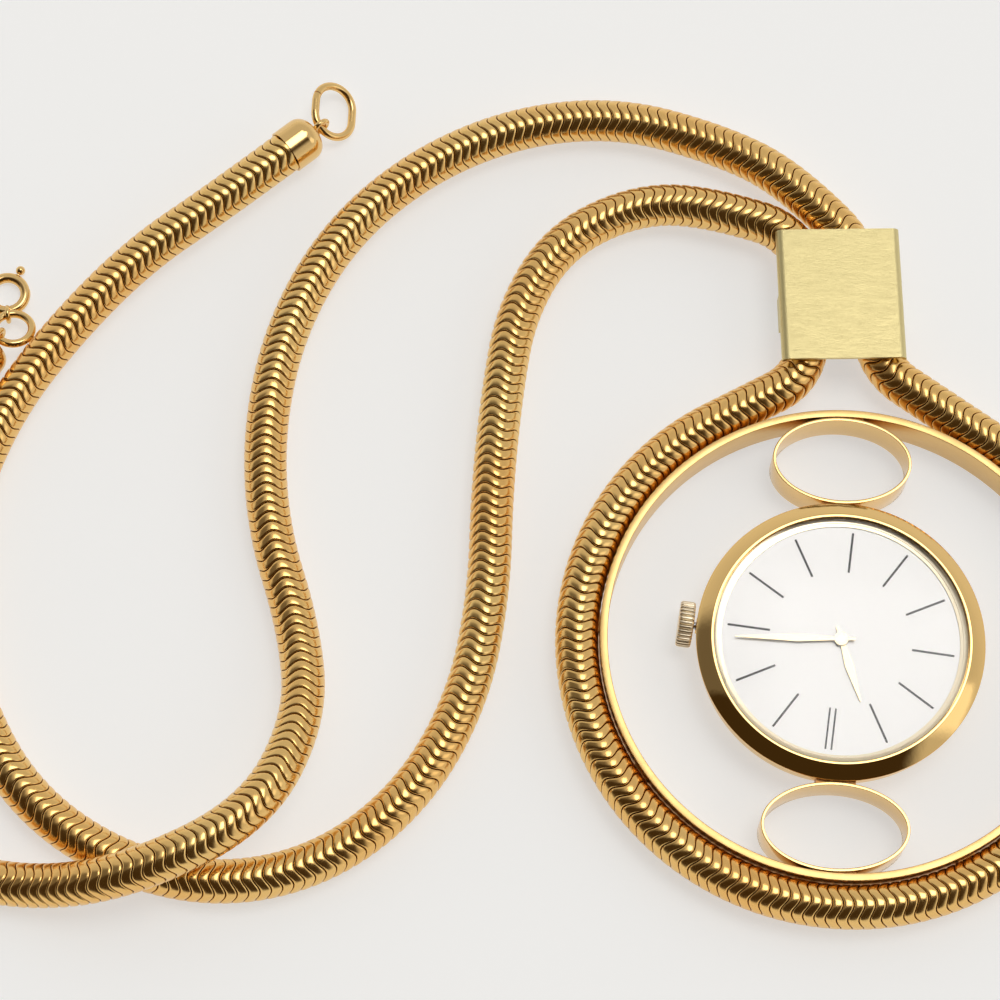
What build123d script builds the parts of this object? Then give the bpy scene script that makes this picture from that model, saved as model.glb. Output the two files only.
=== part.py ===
from build123d import *
import os
from math import asin, atan2, cos, degrees, hypot, pi, radians, sin, sqrt, tan

# Pendant watch inside a soldered hoop, hung on a round snake chain.
# Millimetres. The head's back and the hoop stand on z = 0, the head's axis is the origin, +Y runs up to the slide.

os.makedirs("parts", exist_ok=True)

# Watch head, turned so that twelve points away from the slide; its circles follow from the dial's
watch_turn_deg = 174.74
fit_gap = 0.05
dial_r = 15.0
dial_thick = 0.2
dial_bore_r = 0.75
dial_room = 0.1
case_bore_r = dial_r + dial_room
case_z = 1.6
case_top_z = 5.0
case_wall = 1.95
case_waist = 0.35
snap_step = 0.35
snap_r = case_bore_r + snap_step
snap_wall = 0.5
snap_rise = 0.75
case_r = snap_r + case_wall
rim_inset = 1.1
rim_r = case_r - rim_inset
rim_rise = 0.45
back_inset = 0.5
back_r = case_r - back_inset
back_slope = 3.3
back_flat_r = back_r - back_slope
back_bow_share = 1.2
back_floor_z = 0.8

# Rehaut, crystal and bezel
rehaut_cover = 0.45
rehaut_r = dial_r - rehaut_cover
rehaut_lean = 0.15
rehaut_top_r = dial_r + rehaut_lean
rehaut_top_z = 5.95
crystal_seat = 0.45
crystal_edge = 0.5
crystal_dome = 0.6
bezel_over = 0.3
head_r = case_r + bezel_over
bezel_edge = 0.45
bezel_bore_r = rehaut_top_r + crystal_seat
bezel_lip_wide = 0.35
bezel_lip_r = bezel_bore_r + bezel_lip_wide
bezel_lip_z = 6.5

# Hands, leaf shaped
hand_room = 1.65
minute_length = rehaut_r - hand_room
hour_shorter = 4.8
hour_length = minute_length - hour_shorter
hour_width = 1.1
minute_width = 0.95
hand_tail = 1.7
hand_thick = 0.12
hour_hand_z = 5.4
minute_hand_z = 5.66
hub_r = 0.85
hour_angle_deg = 113.1
minute_angle_deg = 6.9
neck_share = 0.35
belly_share = 0.42
tip_share = 0.12

# Crown, its tube and the winding stem
crown_r = 2.85
crown_thick = 1.9
crown_gap = 0.3
crown_ridges = 30
ridge_depth = 0.24
crown_round = 0.2
tube_r = 1.0
tube_bore_r = 0.55
stem_z = 2.95
stem_r = 0.45
square_half = 0.3
stem_inner_x = 6.0
stem_step = 0.2
pull_travel = 0.9

# Plates and bridges of the movement
movement_r = 12.0
plate_z = 3.75
plate_thick = 0.6
pocket_share = 0.75
bridge_z = 1.65
bridge_thick = 0.5
bridge_inset = 0.6
bridge_r = movement_r - bridge_inset
cock_half_wide = 1.1
pillar_r = 0.8
pillar_inset = 1.4
pillar_deg = (144.2, 209.0, 103.2, 18.3)
screw_r = 0.45
screw_head_r = 0.75
screw_head_thick = 0.25
pivot_r = 0.12
pivot_gap = 0.04
arbor_r = 0.2
wheel_thick = 0.15
wheel_gap = 0.06
mesh_gap = 0.04

# Tooth counts and modules of the going train
barrel_teeth = 60
centre_leaves = 10
centre_teeth = 48
third_leaves = 6
third_teeth = 45
fourth_leaves = 6
fourth_teeth = 60
escape_leaves = 6
escape_teeth = 15
barrel_module = 0.14
centre_module = 0.155
third_module = 0.13
fourth_module = 0.1
escape_r = 2.2
escape_root_share = 0.74
barrel_drum_z = 2.25
barrel_drum_high = 1.0
third_wheel_z = 2.35
fourth_wheel_z = 2.9
centre_wheel_z = 3.4
escape_wheel_z = 3.35
fourth_pinion_high = 0.42
barrel_angle_deg = 58.1
third_angle_deg = 200.0
fourth_turn_deg = 270.0
escape_turn_deg = -25.0
tooth_share = 0.2
tooth_tip_share = 0.11
addendum_share = 0.85
dedendum_share = 1.25

# Lever and balance
fork_out = 6.896
fork_at_deg = -73.14
balance_out = 7.543
balance_at_deg = -51.46
fork_thick = 0.18
fork_half_wide = 0.16
fork_swing_room = 0.26
pallet_x = 1.05
pallet_y = 1.62
pallet_thick = 0.2
pallet_foot_out = 9.873
pallet_foot_deg = -83.02
pallet_bridge_z = 3.03
pallet_bridge_thick = 0.2
pallet_bridge_half = 0.45
balance_r = 3.9
balance_rim = 0.5
balance_z = 2.6
balance_high = 0.32
balance_arm = 0.5
roller_r = 0.7
roller_thick = 0.15
impulse_r = 0.1
impulse_out = 0.5
hairspring_r = 1.9
hairspring_in_r = 0.5
hairspring_high = 0.12
hairspring_wire = 0.1
hairspring_turns = 4
cock_foot_out = 5.0
cock_foot_deg = 10.0

# Winding and motion work
ratchet_teeth = 42
crown_wheel_teeth = 24
winding_module = 0.19
winding_teeth = 14
winding_wheel_z = 1.35
winding_wheel_thick = 0.22
winding_pinion_r = 1.15
winding_pinion_x = 9.5
winding_pinion_long = 1.1
shoulder_x = winding_pinion_x + winding_pinion_long + stem_step
clutch_r = 0.75
clutch_long = 1.9
click_out = 4.8
click_away_deg = 158.9
click_gap = 24.5
click_tip_r = 4.1
click_r = 0.5
cannon_teeth = 10
minute_wheel_teeth = 30
minute_leaves = 8
hour_wheel_teeth = 32
motion_module = 0.16
motion_angle_deg = 150.0
cannon_z = 4.42
cannon_high = 0.2
cannon_r = 0.4
hour_wheel_z = 4.7
hour_pipe_bore_r = 0.46
hour_pipe_r = 0.62

# Hoop, oval rings and solder
hoop_r = 30.1
hoop_right = 0.65
hoop_up = 0.15
hoop_band = 1.0
hoop_high = 5.2
band_bevel = 0.12
upper_half_wide = 8.65
lower_half_wide = 9.0
oval_band = 0.42
oval_z = 0.1
oval_high = 5.1
oval_shift_x = -0.2
head_gap = 0.4
joint_gap = 0.08
solder_gap = 0.01
head_solder_half = 2.4
hoop_solder_half = 2.6
solder_steps = 16
solder_low_z = 0.9
solder_high = 3.9

# Chain held by the hoop and the slide
chain_r = 2.68
held_z = 3.2
left_leave_deg = 121.0
right_leave_deg = 57.0
left_bend_r = 8.0
right_bend_r = 9.0
left_exit_bend_r = 8.7
right_exit_bend_r = 14.5
right_heading_deg = 100.0
left_exit_turn_deg = 75.0
right_exit_turn_deg = 35.0
left_in_slide_x = -4.7
right_in_slide_x = 3.8
left_straight = 7.98
right_straight = 8.33
chain_solder_deg = (140.0, 178.0, 216.0, 262.0, 300.0, 338.0, 20.0)
chain_solder_wide = 2.4
chain_solder_high = 2.2
chain_solder_reach = 0.9

# Slide
slide_wide = 15.7
slide_long = 17.6
slide_sheet = 0.45
slide_top_z = 6.95
slide_round = 0.9
slide_shift_x = -0.9
slide_up = 5.54
slide_turn_deg = 4.1
keeper_room = 0.15
keeper_half = (right_in_slide_x - left_in_slide_x) / 2 + chain_r + keeper_room
keeper_sheet = 0.3
keeper_middle = -0.3
keeper_long = 4.4

# End caps and rings
cap_wall = 0.25
cap_r = chain_r + cap_wall
cap_long = 4.65
cap_socket = 1.6
cap_dome_r = 1.9
cap_lie_z = cap_r + fit_gap / 2
eyelet_r = 1.08
eyelet_wire_r = 0.36
eyelet_out = 0.95
link_wire_r = 0.52

# Oval jump ring at the left strand's end
link_half_wide = 2.75
link_straight = 1.55
link_tilt_deg = 33.0
link_hang_deg = 228.0
link_split_gap = 0.12
link_split_deg = 160.0

# Round jump ring and spring ring clasp at the right strand's end
round_link_r = 2.35
round_link_half_deg = 55.0
round_link_tilt_deg = 15.0
round_link_face_deg = 167.35
clasp_heading_deg = 100.0
clasp_r = 2.95
clasp_tube_r = 0.65
clasp_bore_r = 0.44
clasp_lie_z = 0.68
loop_r = 0.9
loop_wire_r = 0.3
loop_gap = 0.35
gate_r = 0.38
gap_start_deg = 130.0
gap_open_deg = 50.0
gate_tail_deg = 40.0
gate_tip_deg = 6.0
socket_deg = 9.0
bore_tail_deg = -40.0
spring_tail_deg = -38.0
spring_end_deg = -12.0
spring_r = 0.36
knob_deg = 68.0
slot_half_high = 0.27
slot_margin_deg = 9.0
gate_pull_deg = 46.0
post_r = 0.2
knob_r = 0.6
knob_out = 3.65

# Routes of the free strands, from the slide to the end caps
chain_lie_z = chain_r
cross_gap = 0.5
cross_z = chain_lie_z + 2 * chain_r + cross_gap
climb_z = 4.6
first_run = 8.5
arc_share = 0.45
left_points = [(-28.3, 57.4, chain_lie_z), (-36.9, 51.8, chain_lie_z), (-41.65, 42.16, chain_lie_z),
               (-42.92, 31.16, chain_lie_z), (-43.51, 18.0, chain_lie_z), (-43.2, 4.8, chain_lie_z),
               (-44.96, -8.86, chain_lie_z), (-50.76, -21.28, chain_lie_z), (-60.51, -30.38, chain_lie_z),
               (-73.0, -34.2, chain_lie_z), (-86.0, -32.0, chain_lie_z), (-97.55, -24.85, chain_lie_z),
               (-105.1, -13.6, chain_lie_z), (-108.9, -0.6, chain_lie_z), (-108.8, 12.9, chain_lie_z),
               (-105.0, 25.4, chain_lie_z), (-98.3, 36.6, chain_lie_z), (-89.9, 47.2, chain_lie_z),
               (-80.6, 54.9, cap_lie_z), (-71.15, 63.6, cap_lie_z)]
right_points = [(-17.04, 67.17, chain_lie_z), (-29.78, 70.16, chain_lie_z), (-43.0, 68.0, chain_lie_z),
                (-55.12, 61.46, chain_lie_z), (-64.69, 51.51, chain_lie_z), (-70.57, 38.7, chain_lie_z),
                (-72.47, 24.95, chain_lie_z), (-71.05, 11.6, chain_lie_z), (-66.2, -1.41, chain_lie_z),
                (-64.45, -13.12, climb_z), (-69.37, -26.55, cross_z), (-83.8, -34.9, cross_z),
                (-96.5, -35.77, chain_lie_z), (-108.5, -33.5, chain_lie_z), (-118.5, -26.0, chain_lie_z),
                (-125.0, -15.0, chain_lie_z), (-127.2, -2.5, chain_lie_z), (-123.5, 9.8, chain_lie_z),
                (-115.9, 19.2, cap_lie_z), (-108.79, 31.28, cap_lie_z)]


def turn(heading_deg):
    """A level unit vector at a heading."""
    return Vector(cos(radians(heading_deg)), sin(radians(heading_deg)), 0)


def head_plane(height, x=0, y=0):
    """A level plane on the watch head, turned with its dial."""
    across = turn(watch_turn_deg)
    origin = across * x + Vector(-across.Y, across.X, 0) * y + Vector(0, 0, height)
    return Plane(origin=origin, x_dir=across, z_dir=(0, 0, 1))


def post(place, radius, low, high, mode=Mode.ADD):
    """A round post, or a hole, at a place on the watch head."""
    with Locations(head_plane(low, *place)):
        Cylinder(radius, high - low, align=(Align.CENTER, Align.CENTER, Align.MIN), mode=mode)


def toothed(teeth, module, phase_deg):
    """The outline of a wheel or pinion, with a tooth at the phase angle."""
    pitch_r = teeth * module / 2
    tip_r = pitch_r + module * addendum_share
    root_r = pitch_r - module * dedendum_share
    points = []
    for tooth in range(teeth):
        for place, radius in ((-tooth_share, root_r), (-tooth_tip_share, tip_r),
                              (tooth_tip_share, tip_r), (tooth_share, root_r)):
            angle = 2 * pi * (tooth + place) / teeth + radians(phase_deg)
            points.append((radius * cos(angle), radius * sin(angle)))
    return Polygon(*points, align=None)


def mesh_distance(teeth, leaves, module):
    """The distance between two meshing axes."""
    return (teeth + leaves) * module / 2 + mesh_gap


def polar(start, distance, heading_deg):
    """A place at a distance and heading from another one."""
    return (start[0] + distance * cos(radians(heading_deg)), start[1] + distance * sin(radians(heading_deg)))


def gap_phase(leaves, heading_deg):
    """The phase that turns a gap between teeth to a heading."""
    return heading_deg + 180 / leaves


def leaf(length, width):
    """The outline of a leaf hand along X."""
    neck = width * neck_share
    Polygon((-hand_tail, -neck / 2), (0, -neck / 2), (length * belly_share, -width / 2),
            (length, -width * tip_share / 2), (length, width * tip_share / 2),
            (length * belly_share, width / 2), (0, neck / 2), (-hand_tail, neck / 2), align=None)


def section_plane(start, target):
    """The plane square to a route at its start."""
    return Plane(origin=start, z_dir=Vector(*target) - Vector(*start))


def corner_radii(points):
    """Each corner's radius, as large as its two runs allow."""
    radii = []
    for before, corner, after in zip(points, points[1:], points[2:]):
        run_in = Vector(*corner) - Vector(*before)
        run_out = Vector(*after) - Vector(*corner)
        turn_deg = run_in.get_angle(run_out)
        shorter = min(run_in.length, run_out.length)
        radii.append(arc_share * shorter / tan(radians(turn_deg / 2)))
    return radii


# Places of the wheels, worked out from their meshes
centre_place = (0, 0)
barrel_place = polar(centre_place, mesh_distance(barrel_teeth, centre_leaves, barrel_module), barrel_angle_deg)
third_place = polar(centre_place, mesh_distance(centre_teeth, third_leaves, centre_module), third_angle_deg)
fourth_place = polar(third_place, mesh_distance(third_teeth, fourth_leaves, third_module), fourth_turn_deg)
escape_place = polar(fourth_place, mesh_distance(fourth_teeth, escape_leaves, fourth_module), escape_turn_deg)
minute_wheel_place = polar(centre_place, mesh_distance(minute_wheel_teeth, cannon_teeth, motion_module),
                           motion_angle_deg)
crown_wheel_reach = mesh_distance(ratchet_teeth, crown_wheel_teeth, winding_module)
crown_wheel_place = (barrel_place[0] + sqrt(crown_wheel_reach ** 2 - barrel_place[1] ** 2), 0)
fork_place = polar(centre_place, fork_out, fork_at_deg)
balance_place = polar(centre_place, balance_out, balance_at_deg)
pallet_bridge_foot = polar(centre_place, pallet_foot_out, pallet_foot_deg)
ratchet_heading_deg = degrees(atan2(crown_wheel_place[1] - barrel_place[1],
                                    crown_wheel_place[0] - barrel_place[0]))
click_place = polar(barrel_place, click_out, click_away_deg)
click_tip = polar(barrel_place, click_tip_r, ratchet_heading_deg + click_gap * 360 / ratchet_teeth)
click_heading_deg = degrees(atan2(click_tip[1] - click_place[1], click_tip[0] - click_place[0]))
click_arm = hypot(click_tip[1] - click_place[1], click_tip[0] - click_place[0])
cock_foot_place = polar(balance_place, cock_foot_out, cock_foot_deg)
pillar_places = [polar(centre_place, movement_r - pillar_inset, degree) for degree in pillar_deg]
arbor_low_z = bridge_z + bridge_thick / 4
arbor_high_z = plate_z + plate_thick / 2
bridge_top_z = bridge_z + bridge_thick
train_places = [third_place, fourth_place, escape_place, fork_place]

# Case back, pressed into the case with a snap rim
with BuildPart() as case_back:
    with BuildSketch(Plane.XZ):
        with BuildLine():
            flat = Line((0, 0), (back_flat_r, 0))
            curve = RadiusArc(flat @ 1, (back_r, case_z), -(back_r - back_flat_r) * back_bow_share)
            Polyline(curve @ 1, (snap_r - fit_gap, case_z), (snap_r - fit_gap, case_z + snap_rise),
                     (snap_r - fit_gap - snap_wall, case_z + snap_rise),
                     (snap_r - fit_gap - snap_wall, back_floor_z), (0, back_floor_z), (0, 0))
        make_face()
    revolve(axis=Axis.Z)

# Middle case with its seat for the back, its raised rim for the bezel and the stem hole
with BuildPart() as case_body:
    with BuildSketch(Plane.XZ):
        with BuildLine():
            inner = Polyline((case_r, (case_z + case_top_z) / 2), (case_r, case_top_z), (rim_r, case_top_z), 
                             (rim_r, case_top_z + rim_rise), (case_bore_r, case_top_z + rim_rise),
                             (case_bore_r, case_z + snap_rise + fit_gap),
                             (snap_r, case_z + snap_rise + fit_gap), (snap_r, case_z),
                             (case_r - case_waist, case_z))
            TangentArc(inner @ 0, inner @ 1, tangent=(0, -1))
        make_face()
    revolve(axis=Axis.Z)
    with Locations(Location(head_plane(stem_z, case_bore_r - snap_wall) * Rotation(0, 90, 0))):
        Cylinder(tube_r, case_r, align=(Align.CENTER, Align.CENTER, Align.MIN), mode=Mode.SUBTRACT)

# Crown tube, pressed into the case
with BuildPart(Plane(head_plane(stem_z, snap_r).origin, z_dir=turn(watch_turn_deg))) as crown_tube:
    Cylinder(tube_r - fit_gap / 2, head_r - snap_r, align=(Align.CENTER, Align.CENTER, Align.MIN))
    Cylinder(tube_bore_r, head_r - snap_r, align=(Align.CENTER, Align.CENTER, Align.MIN), mode=Mode.SUBTRACT)

# Bezel with its polished bevel
with BuildPart() as bezel:
    with BuildSketch(Plane.XZ):
        Polygon((head_r, case_top_z), (head_r, case_top_z + bezel_edge), (bezel_lip_r, bezel_lip_z),
                (bezel_bore_r, bezel_lip_z), (bezel_bore_r, case_top_z + rim_rise),
                (rim_r + fit_gap / 2, case_top_z + rim_rise), (rim_r + fit_gap / 2, case_top_z), align=None)
    revolve(axis=Axis.Z)

# Rehaut ring between the dial and the crystal
with BuildPart() as rehaut:
    with BuildSketch(Plane.XZ):
        Polygon((rehaut_r, case_top_z + dial_thick), (dial_r, case_top_z + dial_thick),
                (dial_r, case_top_z + rim_rise),
                (bezel_bore_r - fit_gap, case_top_z + rim_rise), (bezel_bore_r - fit_gap, rehaut_top_z),
                (rehaut_top_r, rehaut_top_z), align=None)
    revolve(axis=Axis.Z)

# Low domed crystal
crystal_r = bezel_bore_r - fit_gap
dome_r = (crystal_r ** 2 + crystal_dome ** 2) / (2 * crystal_dome)
dome_deg = degrees(asin(crystal_r / dome_r))
with BuildPart() as crystal:
    with BuildSketch(Plane.XZ):
        with BuildLine():
            Polyline((0, rehaut_top_z), (crystal_r, rehaut_top_z), (crystal_r, rehaut_top_z + crystal_edge))
            dome = CenterArc((0, rehaut_top_z + crystal_edge + crystal_dome - dome_r), dome_r, 90 - dome_deg,
                             dome_deg)
            Line(dome @ 1, (0, rehaut_top_z))
        make_face()
    revolve(axis=Axis.Z)

# Dial
with BuildPart() as dial:
    with BuildSketch(head_plane(case_top_z)):
        Circle(dial_r)
        Circle(dial_bore_r, mode=Mode.SUBTRACT)
    extrude(amount=dial_thick)

# Main plate with its pocket for the winding work and its pillars
with BuildPart() as main_plate:
    with BuildSketch(head_plane(plate_z)):
        Circle(movement_r)
    extrude(amount=plate_thick)
    for place in pillar_places + [cock_foot_place]:
        post(place, pillar_r, bridge_top_z, plate_z)
    post(minute_wheel_place, arbor_r, plate_z + plate_thick, hour_wheel_z + wheel_thick)
    with Locations(head_plane(plate_z, winding_pinion_x - clutch_long - square_half)):
        Box(movement_r, 2 * winding_pinion_r + square_half, 2 * plate_thick * pocket_share,
            align=(Align.MIN, Align.CENTER, Align.CENTER), mode=Mode.SUBTRACT)
    post(centre_place, hour_pipe_r, plate_z, plate_z + plate_thick, Mode.SUBTRACT)
    for place in train_places + [barrel_place, balance_place]:
        post(place, arbor_r + pivot_gap, plate_z, arbor_high_z + pivot_gap, Mode.SUBTRACT)
    for place in pillar_places + [cock_foot_place]:
        post(place, screw_r / 2, bridge_top_z, plate_z, Mode.SUBTRACT)

# Casing ring that holds the movement in the case
with BuildPart() as casing_ring:
    with BuildSketch(head_plane(case_z + snap_rise + fit_gap)):
        Circle(case_bore_r - fit_gap)
        Circle(movement_r + fit_gap, mode=Mode.SUBTRACT)
    extrude(amount=case_top_z - case_z - snap_rise - 2 * fit_gap)
    with Locations(Location(head_plane(stem_z, movement_r) * Rotation(0, 90, 0))):
        Cylinder(tube_r, case_bore_r, align=(Align.CENTER, Align.CENTER, Align.CENTER), mode=Mode.SUBTRACT)

# Train bridge, cut away round the balance
with BuildPart() as train_bridge:
    with BuildSketch(head_plane(bridge_z)):
        Circle(bridge_r)
        with Locations(balance_place):
            Circle(balance_r + cock_half_wide, mode=Mode.SUBTRACT)
        with Locations(cock_foot_place):
            Circle(pillar_r * 2 + fit_gap, mode=Mode.SUBTRACT)
        with Locations((winding_pinion_x - square_half, 0)):
            Rectangle(bridge_r, 2 * winding_pinion_r, align=(Align.MIN, Align.CENTER), mode=Mode.SUBTRACT)
    extrude(amount=bridge_thick)
    for place in [third_place, fourth_place, escape_place, centre_place, barrel_place]:
        post(place, arbor_r + pivot_gap, bridge_z, bridge_top_z, Mode.SUBTRACT)
    for place in pillar_places:
        post(place, screw_r + pivot_gap, bridge_z, bridge_top_z, Mode.SUBTRACT)

# Balance cock
with BuildPart() as balance_cock:
    with BuildSketch(head_plane(bridge_z)):
        with Locations(Location((*[(a + b) / 2 for a, b in zip(balance_place, cock_foot_place)], 0),
                                (0, 0, cock_foot_deg))):
            SlotCenterToCenter(cock_foot_out, 2 * cock_half_wide)
    extrude(amount=bridge_thick)
    post(balance_place, pivot_r + pivot_gap, bridge_z, bridge_top_z, Mode.SUBTRACT)
    post(cock_foot_place, screw_r + pivot_gap, bridge_z, bridge_top_z, Mode.SUBTRACT)

# Bridge screws, one at each pillar
with BuildPart() as bridge_screws:
    for place in pillar_places + [cock_foot_place]:
        post(place, screw_head_r, bridge_z - screw_head_thick, bridge_z)
        post(place, screw_r, bridge_z, bridge_top_z)
        post(place, screw_r / 2, bridge_top_z, plate_z)

# Mainspring barrel with its toothed rim
with BuildPart() as barrel:
    post(barrel_place, barrel_teeth * barrel_module / 2 - barrel_module * dedendum_share, barrel_drum_z,
         barrel_drum_z + barrel_drum_high)
    with BuildSketch(head_plane(barrel_drum_z + barrel_drum_high / 2, *barrel_place)):
        toothed(barrel_teeth, barrel_module, barrel_angle_deg + 180)
    extrude(amount=barrel_drum_high / 4)
    post(barrel_place, arbor_r + 2 * pivot_gap, barrel_drum_z, barrel_drum_z + barrel_drum_high, Mode.SUBTRACT)

# Ratchet wheel and the barrel arbor that it winds
with BuildPart() as ratchet:
    with BuildSketch(head_plane(winding_wheel_z, *barrel_place)):
        toothed(ratchet_teeth, winding_module, ratchet_heading_deg)
    extrude(amount=winding_wheel_thick)

with BuildPart() as barrel_arbor:
    post(barrel_place, arbor_r, winding_wheel_z + winding_wheel_thick, arbor_high_z)

# Crown wheel on its core
with BuildPart() as crown_wheel:
    with BuildSketch(head_plane(winding_wheel_z, *crown_wheel_place)):
        toothed(crown_wheel_teeth, winding_module, gap_phase(crown_wheel_teeth, ratchet_heading_deg + 180))
        Circle(2 * arbor_r + pivot_gap, mode=Mode.SUBTRACT)
    extrude(amount=winding_wheel_thick)

with BuildPart() as crown_wheel_core:
    post(crown_wheel_place, 2 * arbor_r, winding_wheel_z - wheel_gap / 2, bridge_z)
    post(crown_wheel_place, 4 * arbor_r, winding_wheel_z - 3 * wheel_gap, winding_wheel_z - wheel_gap / 2)

# Click that holds the ratchet wheel
with BuildPart() as click:
    with BuildSketch(head_plane(winding_wheel_z, *click_place)):
        Circle(click_r)
        with Locations(Location((0, 0, 0), (0, 0, click_heading_deg))):
            Polygon((0, -click_r), (click_arm, -click_r / 8), (click_arm, click_r / 8), (0, click_r), align=None)
        Circle(arbor_r + pivot_gap, mode=Mode.SUBTRACT)
    extrude(amount=winding_wheel_thick)

with BuildPart() as click_pin:
    post(click_place, arbor_r, winding_wheel_z - wheel_gap, bridge_z)

# Centre wheel, its pinion and the arbor that carries the cannon pinion
with BuildPart() as centre_wheel:
    with BuildSketch(head_plane(centre_wheel_z, *centre_place)):
        toothed(centre_teeth, centre_module, third_angle_deg)
    extrude(amount=wheel_thick)
    with BuildSketch(head_plane(barrel_drum_z, *centre_place)):
        toothed(centre_leaves, barrel_module, gap_phase(centre_leaves, barrel_angle_deg))
    extrude(amount=centre_wheel_z - barrel_drum_z)
    post(centre_place, arbor_r, arbor_low_z, cannon_z + cannon_high)

# Third wheel
with BuildPart() as third_wheel:
    with BuildSketch(head_plane(third_wheel_z, *third_place)):
        toothed(third_teeth, third_module, fourth_turn_deg)
    extrude(amount=wheel_thick)
    with BuildSketch(head_plane(centre_wheel_z - wheel_gap * 3, *third_place)):
        toothed(third_leaves, centre_module, gap_phase(third_leaves, third_angle_deg + 180))
    extrude(amount=plate_z - centre_wheel_z + wheel_gap)
    post(third_place, arbor_r, arbor_low_z, arbor_high_z)

# Fourth wheel
with BuildPart() as fourth_wheel:
    with BuildSketch(head_plane(fourth_wheel_z, *fourth_place)):
        toothed(fourth_teeth, fourth_module, escape_turn_deg)
    extrude(amount=wheel_thick)
    with BuildSketch(head_plane(third_wheel_z - wheel_gap, *fourth_place)):
        toothed(fourth_leaves, third_module, gap_phase(fourth_leaves, fourth_turn_deg + 180))
    extrude(amount=fourth_pinion_high)
    post(fourth_place, arbor_r, arbor_low_z, arbor_high_z)

# Escape wheel with pointed, leaning teeth
with BuildPart() as escape_wheel:
    with BuildSketch(head_plane(escape_wheel_z, *escape_place)):
        escape_points = []
        for tooth in range(escape_teeth):
            for place, share in ((0, 1), (tooth_share / 2, escape_root_share), (4 * tooth_share, escape_root_share)):
                angle = 2 * pi * (tooth + place) / escape_teeth
                escape_points.append((escape_r * share * cos(angle), escape_r * share * sin(angle)))
        Polygon(*escape_points, align=None)
    extrude(amount=wheel_thick)
    with BuildSketch(head_plane(fourth_wheel_z - wheel_gap, *escape_place)):
        toothed(escape_leaves, fourth_module, gap_phase(escape_leaves, escape_turn_deg + 180))
    extrude(amount=wheel_thick + 2 * wheel_gap)
    post(escape_place, pivot_r, arbor_low_z, arbor_high_z)

# Pallet fork, its arms over the escape wheel and its notch round the impulse pin
fork_heading_deg = degrees(atan2(balance_place[1] - fork_place[1], balance_place[0] - fork_place[0]))
pallet_heading_deg = degrees(atan2(escape_place[1] - fork_place[1], escape_place[0] - fork_place[0]))
pin_reach = hypot(balance_place[0] - fork_place[0], balance_place[1] - fork_place[1]) - impulse_out
notch_half = impulse_r + fork_swing_room
horn_half = notch_half + 2 * impulse_r
with BuildPart() as pallet_fork:
    with BuildSketch(head_plane(escape_wheel_z, *fork_place)):
        with Locations(Location((0, 0, 0), (0, 0, fork_heading_deg))):
            Polygon((0, -fork_half_wide), (pin_reach - 7 * impulse_r, -fork_half_wide),
                    (pin_reach - 4 * impulse_r, -horn_half), (pin_reach - impulse_r, -horn_half),
                    (pin_reach - impulse_r, -notch_half), (pin_reach - 3 * impulse_r, -notch_half),
                    (pin_reach - 3 * impulse_r, notch_half), (pin_reach - impulse_r, notch_half),
                    (pin_reach - impulse_r, horn_half), (pin_reach - 4 * impulse_r, horn_half),
                    (pin_reach - 7 * impulse_r, fork_half_wide), (0, fork_half_wide), align=None)
        with Locations(Location((0, 0, 0), (0, 0, pallet_heading_deg))):
            Polygon((-pallet_thick, 0), (0, -pallet_thick), (pallet_x - pallet_thick / 2, -pallet_y),
                    (pallet_x + pallet_thick / 2, -pallet_y + pallet_thick / 2), (pallet_thick, 0),
                    (pallet_x + pallet_thick / 2, pallet_y - pallet_thick / 2),
                    (pallet_x - pallet_thick / 2, pallet_y), (0, pallet_thick), align=None)
    extrude(amount=fork_thick)
    post(fork_place, pivot_r, pallet_bridge_z + wheel_gap / 2, arbor_high_z)

# Bridge that carries the lower pivot of the pallet fork
with BuildPart() as pallet_bridge:
    bridge_span = hypot(pallet_bridge_foot[0] - fork_place[0], pallet_bridge_foot[1] - fork_place[1])
    bridge_heading_deg = degrees(atan2(pallet_bridge_foot[1] - fork_place[1],
                                       pallet_bridge_foot[0] - fork_place[0]))
    with BuildSketch(head_plane(pallet_bridge_z, *fork_place)):
        with Locations(Location(polar((0, 0), bridge_span / 2, bridge_heading_deg) + (0,),
                                (0, 0, bridge_heading_deg))):
            SlotCenterToCenter(bridge_span, 2 * pallet_bridge_half)
    extrude(amount=pallet_bridge_thick)
    post(pallet_bridge_foot, pallet_bridge_half, pallet_bridge_z, plate_z)
    post(fork_place, pivot_r + pivot_gap, pallet_bridge_z, pallet_bridge_z + pallet_bridge_thick, Mode.SUBTRACT)

# Balance wheel with its arm, staff, roller and impulse pin
with BuildPart() as balance_wheel:
    with BuildSketch(head_plane(balance_z, *balance_place)):
        Circle(balance_r)
        Circle(balance_r - balance_rim, mode=Mode.SUBTRACT)
        Rectangle(2 * balance_r - balance_rim, balance_arm)
        Circle(balance_arm)
    extrude(amount=balance_high)
    post(balance_place, pivot_r, arbor_low_z, arbor_high_z)
    post(balance_place, roller_r, balance_z + balance_high, balance_z + balance_high + roller_thick)
    post(polar(balance_place, impulse_out, fork_heading_deg + 180), impulse_r, balance_z + balance_high,
         escape_wheel_z + fork_thick)

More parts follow.
